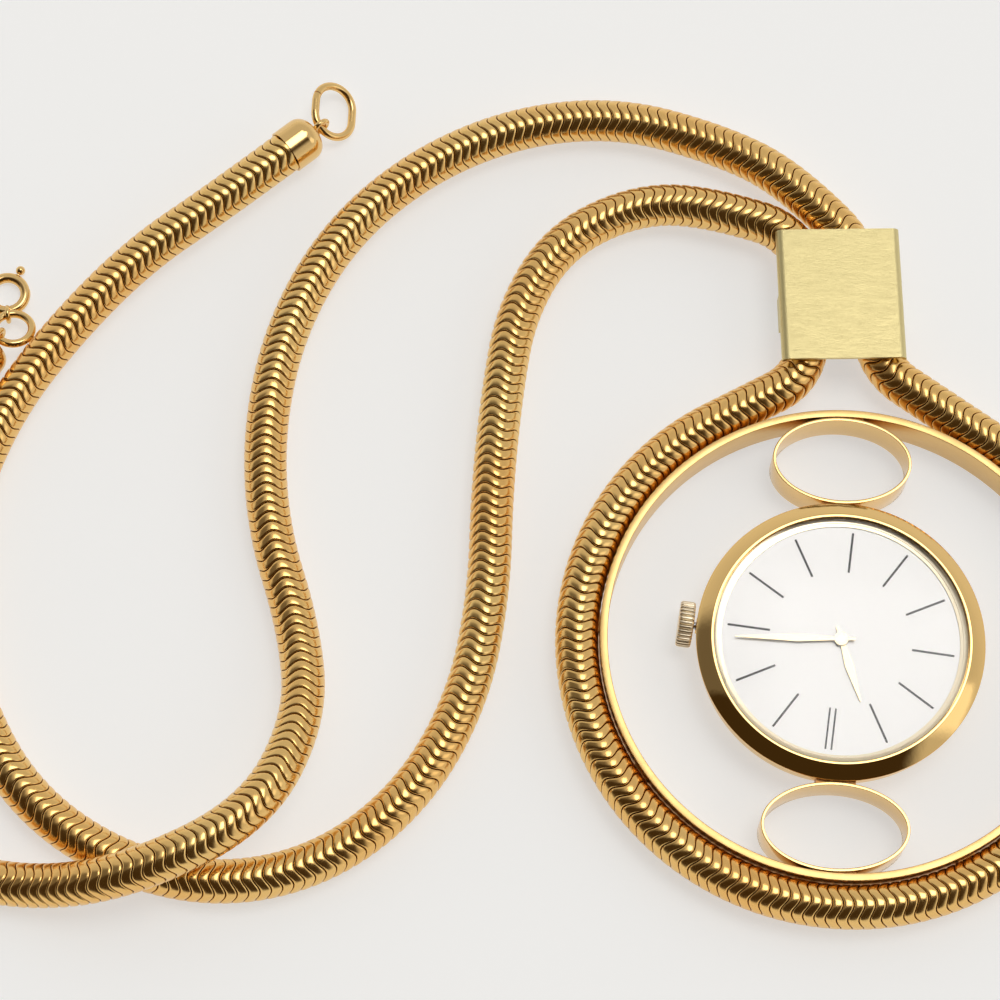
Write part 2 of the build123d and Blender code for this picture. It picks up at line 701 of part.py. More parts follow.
# Flat balance spring between the balance and its cock, wound from half turns and pinned to the cock
with BuildPart() as hairspring:
    with BuildSketch(head_plane(bridge_top_z + wheel_gap, *balance_place)):
        with BuildLine():
            step = (hairspring_r - hairspring_in_r) / (2 * hairspring_turns)
            for half in range(2 * hairspring_turns):
                radius = hairspring_in_r + half * step
                middle = 0 if half % 2 == 0 else step
                CenterArc((middle, 0), radius, 180 * (half % 2), 180)
        trace(line_width=hairspring_wire)
    extrude(amount=hairspring_high)
    with Locations(head_plane(bridge_top_z, *polar(balance_place, hairspring_r, 0))):
        Box(2 * hairspring_wire, 2 * hairspring_wire, wheel_gap + hairspring_high,
            align=(Align.CENTER, Align.CENTER, Align.MIN))

# Cannon pinion, friction fitted on the centre arbor, with the seat of the minute hand
cannon_top_z = minute_hand_z + hand_thick
with BuildPart() as cannon_pinion:
    with BuildSketch(head_plane(cannon_z)):
        toothed(cannon_teeth, motion_module, gap_phase(cannon_teeth, motion_angle_deg))
    extrude(amount=cannon_high)
    post(centre_place, cannon_r, cannon_z + cannon_high, cannon_top_z)
    post(centre_place, arbor_r + pivot_gap / 2, cannon_z, cannon_z + cannon_high, Mode.SUBTRACT)

# Minute wheel and its pinion on a stud of the main plate
with BuildPart() as minute_wheel:
    with BuildSketch(head_plane(cannon_z + pivot_gap, *minute_wheel_place)):
        toothed(minute_wheel_teeth, motion_module, motion_angle_deg + 180)
    extrude(amount=wheel_thick)
    with BuildSketch(head_plane(cannon_z + pivot_gap + wheel_thick, *minute_wheel_place)):
        toothed(minute_leaves, motion_module, gap_phase(minute_leaves, motion_angle_deg + 180))
    extrude(amount=hour_wheel_z - cannon_z)
    post(minute_wheel_place, arbor_r + pivot_gap, cannon_z, case_top_z, Mode.SUBTRACT)

# Hour wheel with the pipe that carries the hour hand
with BuildPart() as hour_wheel:
    with BuildSketch(head_plane(hour_wheel_z)):
        toothed(hour_wheel_teeth, motion_module, motion_angle_deg)
    extrude(amount=wheel_thick)
    post(centre_place, hour_pipe_r, hour_wheel_z, hour_hand_z + hand_thick)
    post(centre_place, hour_pipe_bore_r, hour_wheel_z, hour_hand_z + hand_thick, Mode.SUBTRACT)

# Hands
with BuildPart() as hour_hand:
    with BuildSketch(head_plane(hour_hand_z)):
        with Locations(Location((0, 0, 0), (0, 0, hour_angle_deg))):
            leaf(hour_length, hour_width)
        Circle(hub_r)
        Circle(hour_pipe_r + fit_gap / 5, mode=Mode.SUBTRACT)
    extrude(amount=hand_thick)

with BuildPart() as minute_hand:
    with BuildSketch(head_plane(minute_hand_z)):
        with Locations(Location((0, 0, 0), (0, 0, minute_angle_deg))):
            leaf(minute_length, minute_width)
        Circle(hub_r)
        Circle(cannon_r + fit_gap / 5, mode=Mode.SUBTRACT)
    extrude(amount=hand_thick)

# Crown with its fluted edge
stem_axis = turn(watch_turn_deg)
crown_x = head_r + crown_gap
with BuildPart(Plane(head_plane(stem_z, crown_x).origin, z_dir=stem_axis)) as crown:
    Cylinder(crown_r, crown_thick, align=(Align.CENTER, Align.CENTER, Align.MIN))
    chamfer(crown.edges().filter_by(GeomType.CIRCLE), crown_round)
    with PolarLocations(crown_r, crown_ridges):
        Box(ridge_depth * sqrt(2), ridge_depth * sqrt(2), crown_thick, rotation=(0, 0, 45),
            align=(Align.CENTER, Align.CENTER, Align.MIN), mode=Mode.SUBTRACT)

# Winding stem, round in the crown tube and square where the clutch rides
with BuildPart(Plane(head_plane(stem_z, stem_inner_x).origin, z_dir=stem_axis)) as winding_stem:
    Box(2 * square_half, 2 * square_half, shoulder_x - stem_inner_x,
        align=(Align.CENTER, Align.CENTER, Align.MIN))
    with Locations((0, 0, shoulder_x - stem_inner_x)):
        Cylinder(stem_r, crown_x - shoulder_x, align=(Align.CENTER, Align.CENTER, Align.MIN))

# Clutch wheel and winding pinion, turned by the square of the stem
with BuildPart(Plane(head_plane(stem_z, winding_pinion_x - clutch_long).origin, z_dir=stem_axis)) as clutch:
    Cylinder(clutch_r, clutch_long, align=(Align.CENTER, Align.CENTER, Align.MIN))
    Box(2 * (square_half + pivot_gap), 2 * (square_half + pivot_gap), clutch_long,
        align=(Align.CENTER, Align.CENTER, Align.MIN), mode=Mode.SUBTRACT)

with BuildPart() as winding_pinion:
    with BuildSketch(Plane(head_plane(stem_z, winding_pinion_x).origin, z_dir=stem_axis)):
        toothed(winding_teeth, 2 * winding_pinion_r / (winding_teeth + 2 * addendum_share), 0)
        Rectangle(2 * (square_half + pivot_gap), 2 * (square_half + pivot_gap), mode=Mode.SUBTRACT)
    extrude(amount=winding_pinion_long)

# Big flat-band hoop
hoop_centre = Vector(hoop_right, hoop_up, 0)
hoop_in_r = hoop_r - hoop_band
with BuildPart(Plane(hoop_centre)) as hoop:
    Cylinder(hoop_r, hoop_high, align=(Align.CENTER, Align.CENTER, Align.MIN))
    Cylinder(hoop_in_r, hoop_high, align=(Align.CENTER, Align.CENTER, Align.MIN), mode=Mode.SUBTRACT)
    chamfer(hoop.edges().filter_by(GeomType.CIRCLE), band_bevel)


def oval_place(side):
    """An oval ring's middle and half height, between the head and the hoop."""
    near = case_r + head_gap
    far = hoop_in_r + side * hoop_up - joint_gap
    return side * (near + far) / 2, (far - near) / 2


def joint_points(middle, half_x, half_y, side, reach):
    """Points along the top or the bottom of an oval, from left to right across a joint."""
    points = []
    for step in range(solder_steps + 1):
        place_x = oval_shift_x + reach * (2 * step / solder_steps - 1)
        points.append((place_x, middle[1] + side * half_y * sqrt(1 - ((place_x - middle[0]) / half_x) ** 2)))
    return points


# Oval rings that join the head to the hoop
oval_rings = []
for side, name, half_wide in ((1, "upper_oval_ring", upper_half_wide), (-1, "lower_oval_ring", lower_half_wide)):
    oval_y, half_high = oval_place(side)
    with BuildPart() as oval_ring:
        with BuildSketch(Plane.XY.offset(oval_z)):
            with Locations((oval_shift_x, oval_y)):
                Ellipse(half_wide, half_high)
                Ellipse(half_wide - oval_band, half_high - oval_band, mode=Mode.SUBTRACT)
        extrude(amount=oval_high)
    oval_ring.part.label = name
    oval_rings.append(oval_ring)

# Solder at the four joints of the oval rings
with BuildPart() as ring_solder:
    for side, half_wide in ((1, upper_half_wide), (-1, lower_half_wide)):
        oval_y, half_high = oval_place(side)
        oval_x = half_wide + solder_gap
        oval_reach = half_high + solder_gap
        head_reach = case_r + solder_gap
        hoop_reach = hoop_in_r - solder_gap
        middle = (oval_shift_x, oval_y)
        at_head = joint_points((0, 0), head_reach, head_reach, side, head_solder_half)
        at_head = at_head + joint_points(middle, oval_x, oval_reach, -side, head_solder_half)[::-1]
        at_hoop = joint_points(middle, oval_x, oval_reach, side, hoop_solder_half)
        at_hoop = at_hoop + joint_points((hoop_right, hoop_up), hoop_reach, hoop_reach, side,
                                         hoop_solder_half)[::-1]
        with BuildSketch(Plane.XY.offset(solder_low_z)):
            Polygon(*at_head, align=None)
            Polygon(*at_hoop, align=None)
        extrude(amount=solder_high)

# Chain round the hoop and through the slide, soldered and held all the way
route_r = hoop_r + chain_r + fit_gap


def leave_point(leave_deg):
    """The place where the chain leaves the hoop."""
    return hoop_centre + turn(leave_deg) * route_r + Vector(0, 0, held_z)


def leaning_run(start, heading_deg, bend_r, turned_deg, target_x):
    """The end of a straight run whose following bend finishes on a line across X."""
    bend = bend_r * (sin(radians(heading_deg + turned_deg)) - sin(radians(heading_deg)))
    bend_x = bend if turned_deg > 0 else -bend
    along = (target_x - bend_x - start.X) / cos(radians(heading_deg))
    return start + turn(heading_deg) * along


with BuildPart() as chain_loop:
    with BuildLine() as held_route:
        CenterArc((hoop_right, hoop_up, held_z), route_r, left_leave_deg,
                  360 + right_leave_deg - left_leave_deg)
        left_heading_deg = left_leave_deg - 90
        left_run = Line(leave_point(left_leave_deg),
                        leaning_run(leave_point(left_leave_deg), left_heading_deg, left_bend_r,
                                    90 - left_heading_deg, left_in_slide_x))
        left_bend = JernArc(left_run @ 1, left_run % 1, left_bend_r, 90 - left_heading_deg)
        left_rise = Line(left_bend @ 1, (left_bend @ 1) + (left_bend % 1) * left_straight)
        left_exit = JernArc(left_rise @ 1, left_rise % 1, left_exit_bend_r, left_exit_turn_deg)
        right_run_heading_deg = right_leave_deg + 90
        right_run = Line(leave_point(right_leave_deg),
                         leaning_run(leave_point(right_leave_deg), right_run_heading_deg, right_bend_r,
                                     right_heading_deg - right_run_heading_deg, right_in_slide_x))
        right_bend = JernArc(right_run @ 1, right_run % 1, right_bend_r,
                             right_heading_deg - right_run_heading_deg)
        right_rise = Line(right_bend @ 1, (right_bend @ 1) + (right_bend % 1) * right_straight)
        right_exit = JernArc(right_rise @ 1, right_rise % 1, right_exit_bend_r, right_exit_turn_deg)
    with BuildSketch(Plane(origin=left_exit @ 1, z_dir=left_exit % 1)):
        Circle(chain_r)
    sweep(path=held_route.wires()[0])

# Solder between the hoop and the chain
with BuildPart() as chain_solder:
    for solder_deg in chain_solder_deg:
        solder_middle = hoop_centre + turn(solder_deg) * (hoop_r + chain_solder_reach / 2)
        with BuildSketch(Plane(origin=solder_middle + Vector(0, 0, held_z / 2), x_dir=turn(solder_deg),
                               z_dir=(0, 0, 1))):
            Rectangle(chain_solder_reach, chain_solder_wide)
        extrude(amount=chain_solder_high)
    add(chain_loop.part, mode=Mode.SUBTRACT)
    with BuildSketch(Plane(hoop_centre)):
        Circle(hoop_r)
    extrude(amount=2 * hoop_high, mode=Mode.SUBTRACT)

# Slide, a formed sheet with rolled sides, open below
slide_along = turn(slide_turn_deg + 90)
slide_place = Vector(slide_shift_x, (left_bend @ 1).Y + slide_up, 0)
slide_plane = Plane(origin=slide_place + slide_along * slide_long / 2, x_dir=turn(slide_turn_deg),
                    z_dir=-slide_along)
with BuildPart() as slide_cover:
    with BuildSketch(slide_plane):
        with Locations((0, slide_top_z - slide_round)):
            SlotOverall(slide_wide, 2 * slide_round)
            SlotOverall(slide_wide - 2 * slide_sheet, 2 * (slide_round - slide_sheet), mode=Mode.SUBTRACT)
            Rectangle(slide_wide, slide_round, align=(Align.CENTER, Align.MAX), mode=Mode.SUBTRACT)
    extrude(amount=slide_long)

# Keeper band inside the slide, round both chain ends
keeper_plane = slide_plane.offset(slide_long / 2 - keeper_middle - keeper_long / 2)
keeper_high = slide_top_z - slide_sheet
with BuildPart() as slide_keeper:
    with BuildSketch(keeper_plane):
        Rectangle(2 * (keeper_half + keeper_sheet), keeper_high, align=(Align.CENTER, Align.MIN))
        with Locations((0, keeper_sheet)):
            Rectangle(2 * keeper_half, keeper_high, align=(Align.CENTER, Align.MIN), mode=Mode.SUBTRACT)
    extrude(amount=keeper_long)
    add(slide_cover.part, mode=Mode.SUBTRACT)

# Free strands of the chain, tubes that stand for it at rest
left_start = left_exit @ 1
left_route_points = [tuple(left_start),
                     tuple(left_start + turn(90 + left_exit_turn_deg) * first_run)] + left_points
left_radii = corner_radii(left_route_points)
with BuildPart() as chain_strand_left:
    with BuildLine() as left_route:
        FilletPolyline(*left_route_points, radius=left_radii)
    with BuildSketch(section_plane(*left_route_points[:2])):
        Circle(chain_r)
    sweep(path=left_route.wires()[0])

right_start = right_exit @ 1
right_route_points = [tuple(right_start),
                      tuple(right_start + turn(right_heading_deg + right_exit_turn_deg) * first_run)]
right_route_points = right_route_points + right_points
right_radii = corner_radii(right_route_points)
with BuildPart() as chain_strand_right:
    with BuildLine() as right_route:
        FilletPolyline(*right_route_points, radius=right_radii)
    with BuildSketch(section_plane(*right_route_points[:2])):
        Circle(chain_r)
    sweep(path=right_route.wires()[0])

for name, strand, route, radii in (("left", chain_strand_left, left_route, left_radii),
                                   ("right", chain_strand_right, right_route, right_radii)):
    plain_volume = pi * chain_r ** 2 * route.wires()[0].length
    print(name, "strand: length", round(route.wires()[0].length, 1), "least radius", round(min(radii), 1),
          "volume over section times length", round(strand.part.volume / plain_volume, 4))

# End caps with their eyelets, at the last point of each strand
cap_plane_a = Plane(origin=left_points[-1], x_dir=(0, 0, 1),
                    z_dir=Vector(*left_points[-1]) - Vector(*left_points[-2]))
cap_plane_b = Plane(origin=right_points[-1], x_dir=(0, 0, 1),
                    z_dir=Vector(*right_points[-1]) - Vector(*right_points[-2]))
eyelet_along = cap_long - cap_socket + eyelet_out
with BuildPart(cap_plane_a.offset(-cap_socket)) as end_cap_left:
    Cylinder(cap_r, cap_long, align=(Align.CENTER, Align.CENTER, Align.MIN))
    fillet(end_cap_left.edges().sort_by(Axis(cap_plane_a.origin, cap_plane_a.z_dir))[-1], cap_dome_r)
    with Locations((0, 0, cap_long + eyelet_out)):
        Torus(eyelet_r, eyelet_wire_r, rotation=(90, 0, 0))
    Cylinder(chain_r + fit_gap, cap_socket, align=(Align.CENTER, Align.CENTER, Align.MIN), mode=Mode.SUBTRACT)

with BuildPart(cap_plane_b.offset(-cap_socket)) as end_cap_right:
    Cylinder(cap_r, cap_long, align=(Align.CENTER, Align.CENTER, Align.MIN))
    fillet(end_cap_right.edges().sort_by(Axis(cap_plane_b.origin, cap_plane_b.z_dir))[-1], cap_dome_r)
    with Locations((0, 0, cap_long + eyelet_out)):
        Torus(eyelet_r, eyelet_wire_r, rotation=(90, 0, 0))
    Cylinder(chain_r + fit_gap, cap_socket, align=(Align.CENTER, Align.CENTER, Align.MIN), mode=Mode.SUBTRACT)

# Oval split jump ring, hung in the left eyelet
eyelet_a = cap_plane_a.origin + cap_plane_a.z_dir * eyelet_along
hang = turn(link_hang_deg) * link_half_wide
link_across = Vector(cos(radians(link_tilt_deg)), 0, -sin(radians(link_tilt_deg)))
link_middle = eyelet_a - link_across * hang.X - Vector(0, hang.Y - link_straight / 2, 0)
link_plane = Plane(origin=link_middle, x_dir=link_across, z_dir=link_across.cross(Vector(0, 1, 0)))
with BuildPart() as jump_ring_oval:
    with BuildLine(link_plane) as link_route:
        upper_end = CenterArc((0, link_straight / 2), link_half_wide, 0, 180)
        lower_end = CenterArc((0, -link_straight / 2), link_half_wide, 180, 180)
        Line(upper_end @ 1, lower_end @ 0)
        Line(lower_end @ 1, upper_end @ 0)
    with BuildSketch(Plane(origin=link_middle + link_across * link_half_wide, x_dir=link_across,
                           z_dir=(0, 1, 0))):
        Circle(link_wire_r)
    sweep(path=link_route.wires()[0])
    with Locations(link_plane):
        with Locations(Location(polar((0, link_straight / 2), link_half_wide, link_split_deg) + (0,),
                                (0, 0, link_split_deg))):
            Box(4 * link_wire_r, link_split_gap, 4 * link_wire_r, mode=Mode.SUBTRACT)

# Round jump ring between the right eyelet and the clasp
eyelet_b = cap_plane_b.origin + cap_plane_b.z_dir * eyelet_along
face_across = turn(round_link_face_deg)
face_level = turn(round_link_face_deg - 90)
face_up = face_level * cos(radians(round_link_tilt_deg)) - Vector(0, 0, sin(radians(round_link_tilt_deg)))
link_x = face_across * round_link_r * cos(radians(round_link_half_deg))
link_y = face_up * round_link_r * sin(radians(round_link_half_deg))
round_middle = eyelet_b - link_x + link_y
clasp_eye = round_middle + link_x + link_y
with BuildPart(Plane(origin=round_middle, x_dir=face_across, z_dir=face_across.cross(face_up))) as jump_ring_round:
    Torus(round_link_r, link_wire_r)

# Spring ring clasp: tube with its loop, gate with its knob, spring
clasp_middle = Vector(clasp_eye.X, clasp_eye.Y, 0) + turn(clasp_heading_deg) * (clasp_r + loop_gap)
clasp_middle = clasp_middle + Vector(0, 0, clasp_lie_z)
tube_line_r = clasp_r - clasp_tube_r


def bent_rod(radius, start_deg, end_deg, mode=Mode.ADD):
    """A rod bent round the clasp's centre."""
    with Locations(Location(tuple(clasp_middle), (0, 0, start_deg))):
        Torus(tube_line_r, radius, major_angle=end_deg - start_deg, align=None, mode=mode)


with BuildPart() as clasp_body:
    bent_rod(clasp_tube_r, gap_start_deg + gap_open_deg, gap_start_deg + 360)
    with Locations(Plane(origin=clasp_eye, x_dir=turn(clasp_heading_deg),
                         z_dir=turn(clasp_heading_deg - 90))):
        Torus(loop_r, loop_wire_r)
    bent_rod(clasp_bore_r, bore_tail_deg, gap_start_deg, Mode.SUBTRACT)
    bent_rod(clasp_bore_r, gap_start_deg + gap_open_deg, gap_start_deg + gap_open_deg + socket_deg,
             Mode.SUBTRACT)
    with BuildSketch(Plane(origin=clasp_middle, x_dir=turn(knob_deg - gate_pull_deg - slot_margin_deg),
                           z_dir=turn(knob_deg - gate_pull_deg - slot_margin_deg - 90))):
        with Locations((tube_line_r, 0)):
            Rectangle(2 * clasp_tube_r, 2 * slot_half_high, align=(Align.MIN, Align.CENTER))
    revolve(axis=Axis(clasp_middle, (0, 0, 1)), revolution_arc=gate_pull_deg + 2 * slot_margin_deg,
            mode=Mode.SUBTRACT)

with BuildPart() as clasp_gate:
    bent_rod(gate_r, gate_tail_deg, gap_start_deg + gap_open_deg + gate_tip_deg)
    with Locations(Plane(origin=clasp_middle + turn(knob_deg) * tube_line_r, z_dir=turn(knob_deg))):
        Cylinder(post_r, knob_out - tube_line_r, align=(Align.CENTER, Align.CENTER, Align.MIN))
    with Locations(clasp_middle + turn(knob_deg) * knob_out):
        Sphere(knob_r)

with BuildPart() as clasp_spring:
    bent_rod(spring_r, spring_tail_deg, spring_end_deg)

# Labels and files
case_back.part.label = "case_back"
export_step(case_back.part, "parts/case_back.step")
case_body.part.label = "case_body"
export_step(case_body.part, "parts/case_body.step")
crown_tube.part.label = "crown_tube"
export_step(crown_tube.part, "parts/crown_tube.step")
bezel.part.label = "bezel"
export_step(bezel.part, "parts/bezel.step")
rehaut.part.label = "rehaut_ring"
export_step(rehaut.part, "parts/rehaut_ring.step")
crystal.part.label = "crystal"
export_step(crystal.part, "parts/crystal.step")
dial.part.label = "dial"
export_step(dial.part, "parts/dial.step")
main_plate.part.label = "main_plate"
export_step(main_plate.part, "parts/main_plate.step")
casing_ring.part.label = "casing_ring"
export_step(casing_ring.part, "parts/casing_ring.step")
train_bridge.part.label = "train_bridge"
export_step(train_bridge.part, "parts/train_bridge.step")
balance_cock.part.label = "balance_cock"
export_step(balance_cock.part, "parts/balance_cock.step")
bridge_screws.part.label = "bridge_screws"
export_step(bridge_screws.part, "parts/bridge_screws.step")
barrel.part.label = "mainspring_barrel"
export_step(barrel.part, "parts/mainspring_barrel.step")
ratchet.part.label = "ratchet_wheel"
export_step(ratchet.part, "parts/ratchet_wheel.step")
barrel_arbor.part.label = "barrel_arbor"
export_step(barrel_arbor.part, "parts/barrel_arbor.step")
crown_wheel.part.label = "crown_wheel"
export_step(crown_wheel.part, "parts/crown_wheel.step")
crown_wheel_core.part.label = "crown_wheel_core"
export_step(crown_wheel_core.part, "parts/crown_wheel_core.step")
click.part.label = "click"
export_step(click.part, "parts/click.step")
click_pin.part.label = "click_pin"
export_step(click_pin.part, "parts/click_pin.step")
centre_wheel.part.label = "centre_wheel"
export_step(centre_wheel.part, "parts/centre_wheel.step")
third_wheel.part.label = "third_wheel"
export_step(third_wheel.part, "parts/third_wheel.step")
fourth_wheel.part.label = "fourth_wheel"
export_step(fourth_wheel.part, "parts/fourth_wheel.step")
escape_wheel.part.label = "escape_wheel"
export_step(escape_wheel.part, "parts/escape_wheel.step")
pallet_fork.part.label = "pallet_fork"
export_step(pallet_fork.part, "parts/pallet_fork.step")
pallet_bridge.part.label = "pallet_bridge"
export_step(pallet_bridge.part, "parts/pallet_bridge.step")
balance_wheel.part.label = "balance_wheel"
export_step(balance_wheel.part, "parts/balance_wheel.step")
hairspring.part.label = "hairspring"
export_step(hairspring.part, "parts/hairspring.step")
cannon_pinion.part.label = "cannon_pinion"
export_step(cannon_pinion.part, "parts/cannon_pinion.step")
minute_wheel.part.label = "minute_wheel"
export_step(minute_wheel.part, "parts/minute_wheel.step")
hour_wheel.part.label = "hour_wheel"
export_step(hour_wheel.part, "parts/hour_wheel.step")
hour_hand.part.label = "hour_hand"
export_step(hour_hand.part, "parts/hour_hand.step")
minute_hand.part.label = "minute_hand"
export_step(minute_hand.part, "parts/minute_hand.step")
crown.part.label = "crown"
export_step(crown.part, "parts/crown.step")
winding_stem.part.label = "winding_stem"
export_step(winding_stem.part, "parts/winding_stem.step")
clutch.part.label = "clutch"
export_step(clutch.part, "parts/clutch.step")
winding_pinion.part.label = "winding_pinion"
export_step(winding_pinion.part, "parts/winding_pinion.step")
hoop.part.label = "hoop"
export_step(hoop.part, "parts/hoop.step")
ring_solder.part.label = "ring_solder"
export_step(ring_solder.part, "parts/ring_solder.step")
chain_loop.part.label = "chain_loop"
export_step(chain_loop.part, "parts/chain_loop.step")
chain_solder.part.label = "chain_solder"
export_step(chain_solder.part, "parts/chain_solder.step")
slide_cover.part.label = "slide_cover"
export_step(slide_cover.part, "parts/slide_cover.step")
slide_keeper.part.label = "slide_keeper"
export_step(slide_keeper.part, "parts/slide_keeper.step")
chain_strand_left.part.label = "chain_strand_left"
export_step(chain_strand_left.part, "parts/chain_strand_left.step")
chain_strand_right.part.label = "chain_strand_right"
export_step(chain_strand_right.part, "parts/chain_strand_right.step")
end_cap_left.part.label = "end_cap_left"
export_step(end_cap_left.part, "parts/end_cap_left.step")
end_cap_right.part.label = "end_cap_right"
export_step(end_cap_right.part, "parts/end_cap_right.step")
jump_ring_oval.part.label = "jump_ring_oval"
export_step(jump_ring_oval.part, "parts/jump_ring_oval.step")
jump_ring_round.part.label = "jump_ring_round"
export_step(jump_ring_round.part, "parts/jump_ring_round.step")
clasp_body.part.label = "clasp_body"
export_step(clasp_body.part, "parts/clasp_body.step")
clasp_gate.part.label = "clasp_gate"
export_step(clasp_gate.part, "parts/clasp_gate.step")
clasp_spring.part.label = "clasp_spring"
export_step(clasp_spring.part, "parts/clasp_spring.step")
for ring in oval_rings:
    export_step(ring.part, f"parts/{ring.part.label}.step")
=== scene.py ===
from math import ceil, cos, pi, radians, sin

import bmesh
import bpy
import numpy as np
from mathutils import Matrix, Vector


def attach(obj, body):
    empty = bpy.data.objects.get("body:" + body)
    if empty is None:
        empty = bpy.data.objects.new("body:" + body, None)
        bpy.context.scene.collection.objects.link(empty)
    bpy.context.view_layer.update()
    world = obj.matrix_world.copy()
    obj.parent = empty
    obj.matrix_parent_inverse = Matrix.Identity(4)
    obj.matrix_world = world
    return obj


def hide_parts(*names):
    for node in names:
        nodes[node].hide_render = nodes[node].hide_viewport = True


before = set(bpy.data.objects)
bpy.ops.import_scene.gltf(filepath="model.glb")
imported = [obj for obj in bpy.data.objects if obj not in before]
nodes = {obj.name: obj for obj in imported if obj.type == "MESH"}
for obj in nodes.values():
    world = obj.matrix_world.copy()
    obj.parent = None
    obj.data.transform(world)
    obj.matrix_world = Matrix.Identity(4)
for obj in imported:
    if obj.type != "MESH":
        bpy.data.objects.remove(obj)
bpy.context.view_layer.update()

MM = 0.001
scene = bpy.context.scene


# Materials: all procedural, uniform values straight on the shader's sockets
def metal(name, color, rough, bump=0.0, scale=400.0, stretch=(1, 1, 1), spots=0.0, vary=0.0):
    """A metal with optional fine bump, roughness spots and colour variation."""
    made = bpy.data.materials.new(name)
    made.use_nodes = True
    tree = made.node_tree
    shader = tree.nodes["Principled BSDF"]
    shader.inputs["Base Color"].default_value = (*color, 1)
    shader.inputs["Metallic"].default_value = 1.0
    shader.inputs["Roughness"].default_value = rough
    if bump or spots or vary:
        coords = tree.nodes.new("ShaderNodeTexCoord")
        mapping = tree.nodes.new("ShaderNodeMapping")
        mapping.inputs["Scale"].default_value = stretch
        tree.links.new(coords.outputs["Object"], mapping.inputs["Vector"])
    if bump:
        grain = tree.nodes.new("ShaderNodeTexNoise")
        grain.inputs["Scale"].default_value = scale
        grain.inputs["Detail"].default_value = 4
        bumps = tree.nodes.new("ShaderNodeBump")
        bumps.inputs["Strength"].default_value = bump
        bumps.inputs["Distance"].default_value = 0.0001
        tree.links.new(mapping.outputs[0], grain.inputs["Vector"])
        tree.links.new(grain.outputs["Fac"], bumps.inputs["Height"])
        tree.links.new(bumps.outputs[0], shader.inputs["Normal"])
    if spots:
        spot_noise = tree.nodes.new("ShaderNodeTexNoise")
        spot_noise.inputs["Scale"].default_value = scale * 0.35
        spot_noise.inputs["Detail"].default_value = 3
        spot_range = tree.nodes.new("ShaderNodeMapRange")
        spot_range.inputs["From Min"].default_value = 0.35
        spot_range.inputs["From Max"].default_value = 0.75
        spot_range.inputs["To Min"].default_value = rough
        spot_range.inputs["To Max"].default_value = rough + spots
        tree.links.new(mapping.outputs[0], spot_noise.inputs["Vector"])
        tree.links.new(spot_noise.outputs["Fac"], spot_range.inputs["Value"])
        tree.links.new(spot_range.outputs[0], shader.inputs["Roughness"])
    if vary:
        tint_noise = tree.nodes.new("ShaderNodeTexNoise")
        tint_noise.inputs["Scale"].default_value = 60
        ramp = tree.nodes.new("ShaderNodeValToRGB")
        ramp.color_ramp.elements[0].position = 0.3
        ramp.color_ramp.elements[1].position = 0.7
        ramp.color_ramp.elements[0].color = (color[0], color[1] * (1 - vary), color[2] * (1 - 2 * vary), 1)
        ramp.color_ramp.elements[1].color = (*color, 1)
        tree.links.new(mapping.outputs[0], tint_noise.inputs["Vector"])
        tree.links.new(tint_noise.outputs["Fac"], ramp.inputs[0])
        tree.links.new(ramp.outputs[0], shader.inputs["Base Color"])
    return made


gold_chain = metal("gold chain", (0.88, 0.59, 0.22), 0.2, vary=0.12)
# Dark brown gold for the end bands of each link: painted shade in the grooves between the links
painted_shade_groove = metal("gold painted shade groove", (0.30, 0.14, 0.04), 0.5)
gold_case = metal("gold case", (0.86, 0.58, 0.23), 0.07, bump=0.5, scale=170)
gold_hoop = metal("gold hoop", (0.80, 0.53, 0.21), 0.28, bump=0.15, scale=900,
                  stretch=(1, 1, 6), spots=0.08)
gold_satin = metal("gold satin", (0.73, 0.625, 0.31), 0.36, bump=0.25, scale=1400,
                   stretch=(1, 9, 1), spots=0.1)
gold_ring = metal("gold ring", (0.85, 0.57, 0.23), 0.14)
gold_solder = metal("gold solder", (0.62, 0.30, 0.10), 0.42, bump=0.8, scale=1500, spots=0.2)
crown_metal = metal("crown metal", (0.90, 0.77, 0.56), 0.32)
nickel = metal("movement nickel", (0.62, 0.61, 0.57), 0.3)
brass = metal("movement brass", (0.72, 0.53, 0.24), 0.28)
steel = metal("movement steel", (0.45, 0.46, 0.48), 0.22)
hand_metal = metal("hand metal", (0.80, 0.65, 0.38), 0.25)
rehaut_metal = metal("rehaut metal", (0.93, 0.80, 0.56), 0.28)


def plain(name, color, rough):
    """A plain finish that isn't metal."""
    made = bpy.data.materials.new(name)
    made.use_nodes = True
    shader = made.node_tree.nodes["Principled BSDF"]
    shader.inputs["Base Color"].default_value = (*color, 1)
    shader.inputs["Roughness"].default_value = rough
    return made


black_print = plain("black print", (0.012, 0.011, 0.010), 0.5)

glass = bpy.data.materials.new("crystal")
glass.use_nodes = True
glass_shader = glass.node_tree.nodes["Principled BSDF"]
glass_shader.inputs["Base Color"].default_value = (1, 1, 1, 1)
glass_shader.inputs["Roughness"].default_value = 0.0
glass_shader.inputs["IOR"].default_value = 1.35
glass_shader.inputs["Transmission Weight"].default_value = 1.0

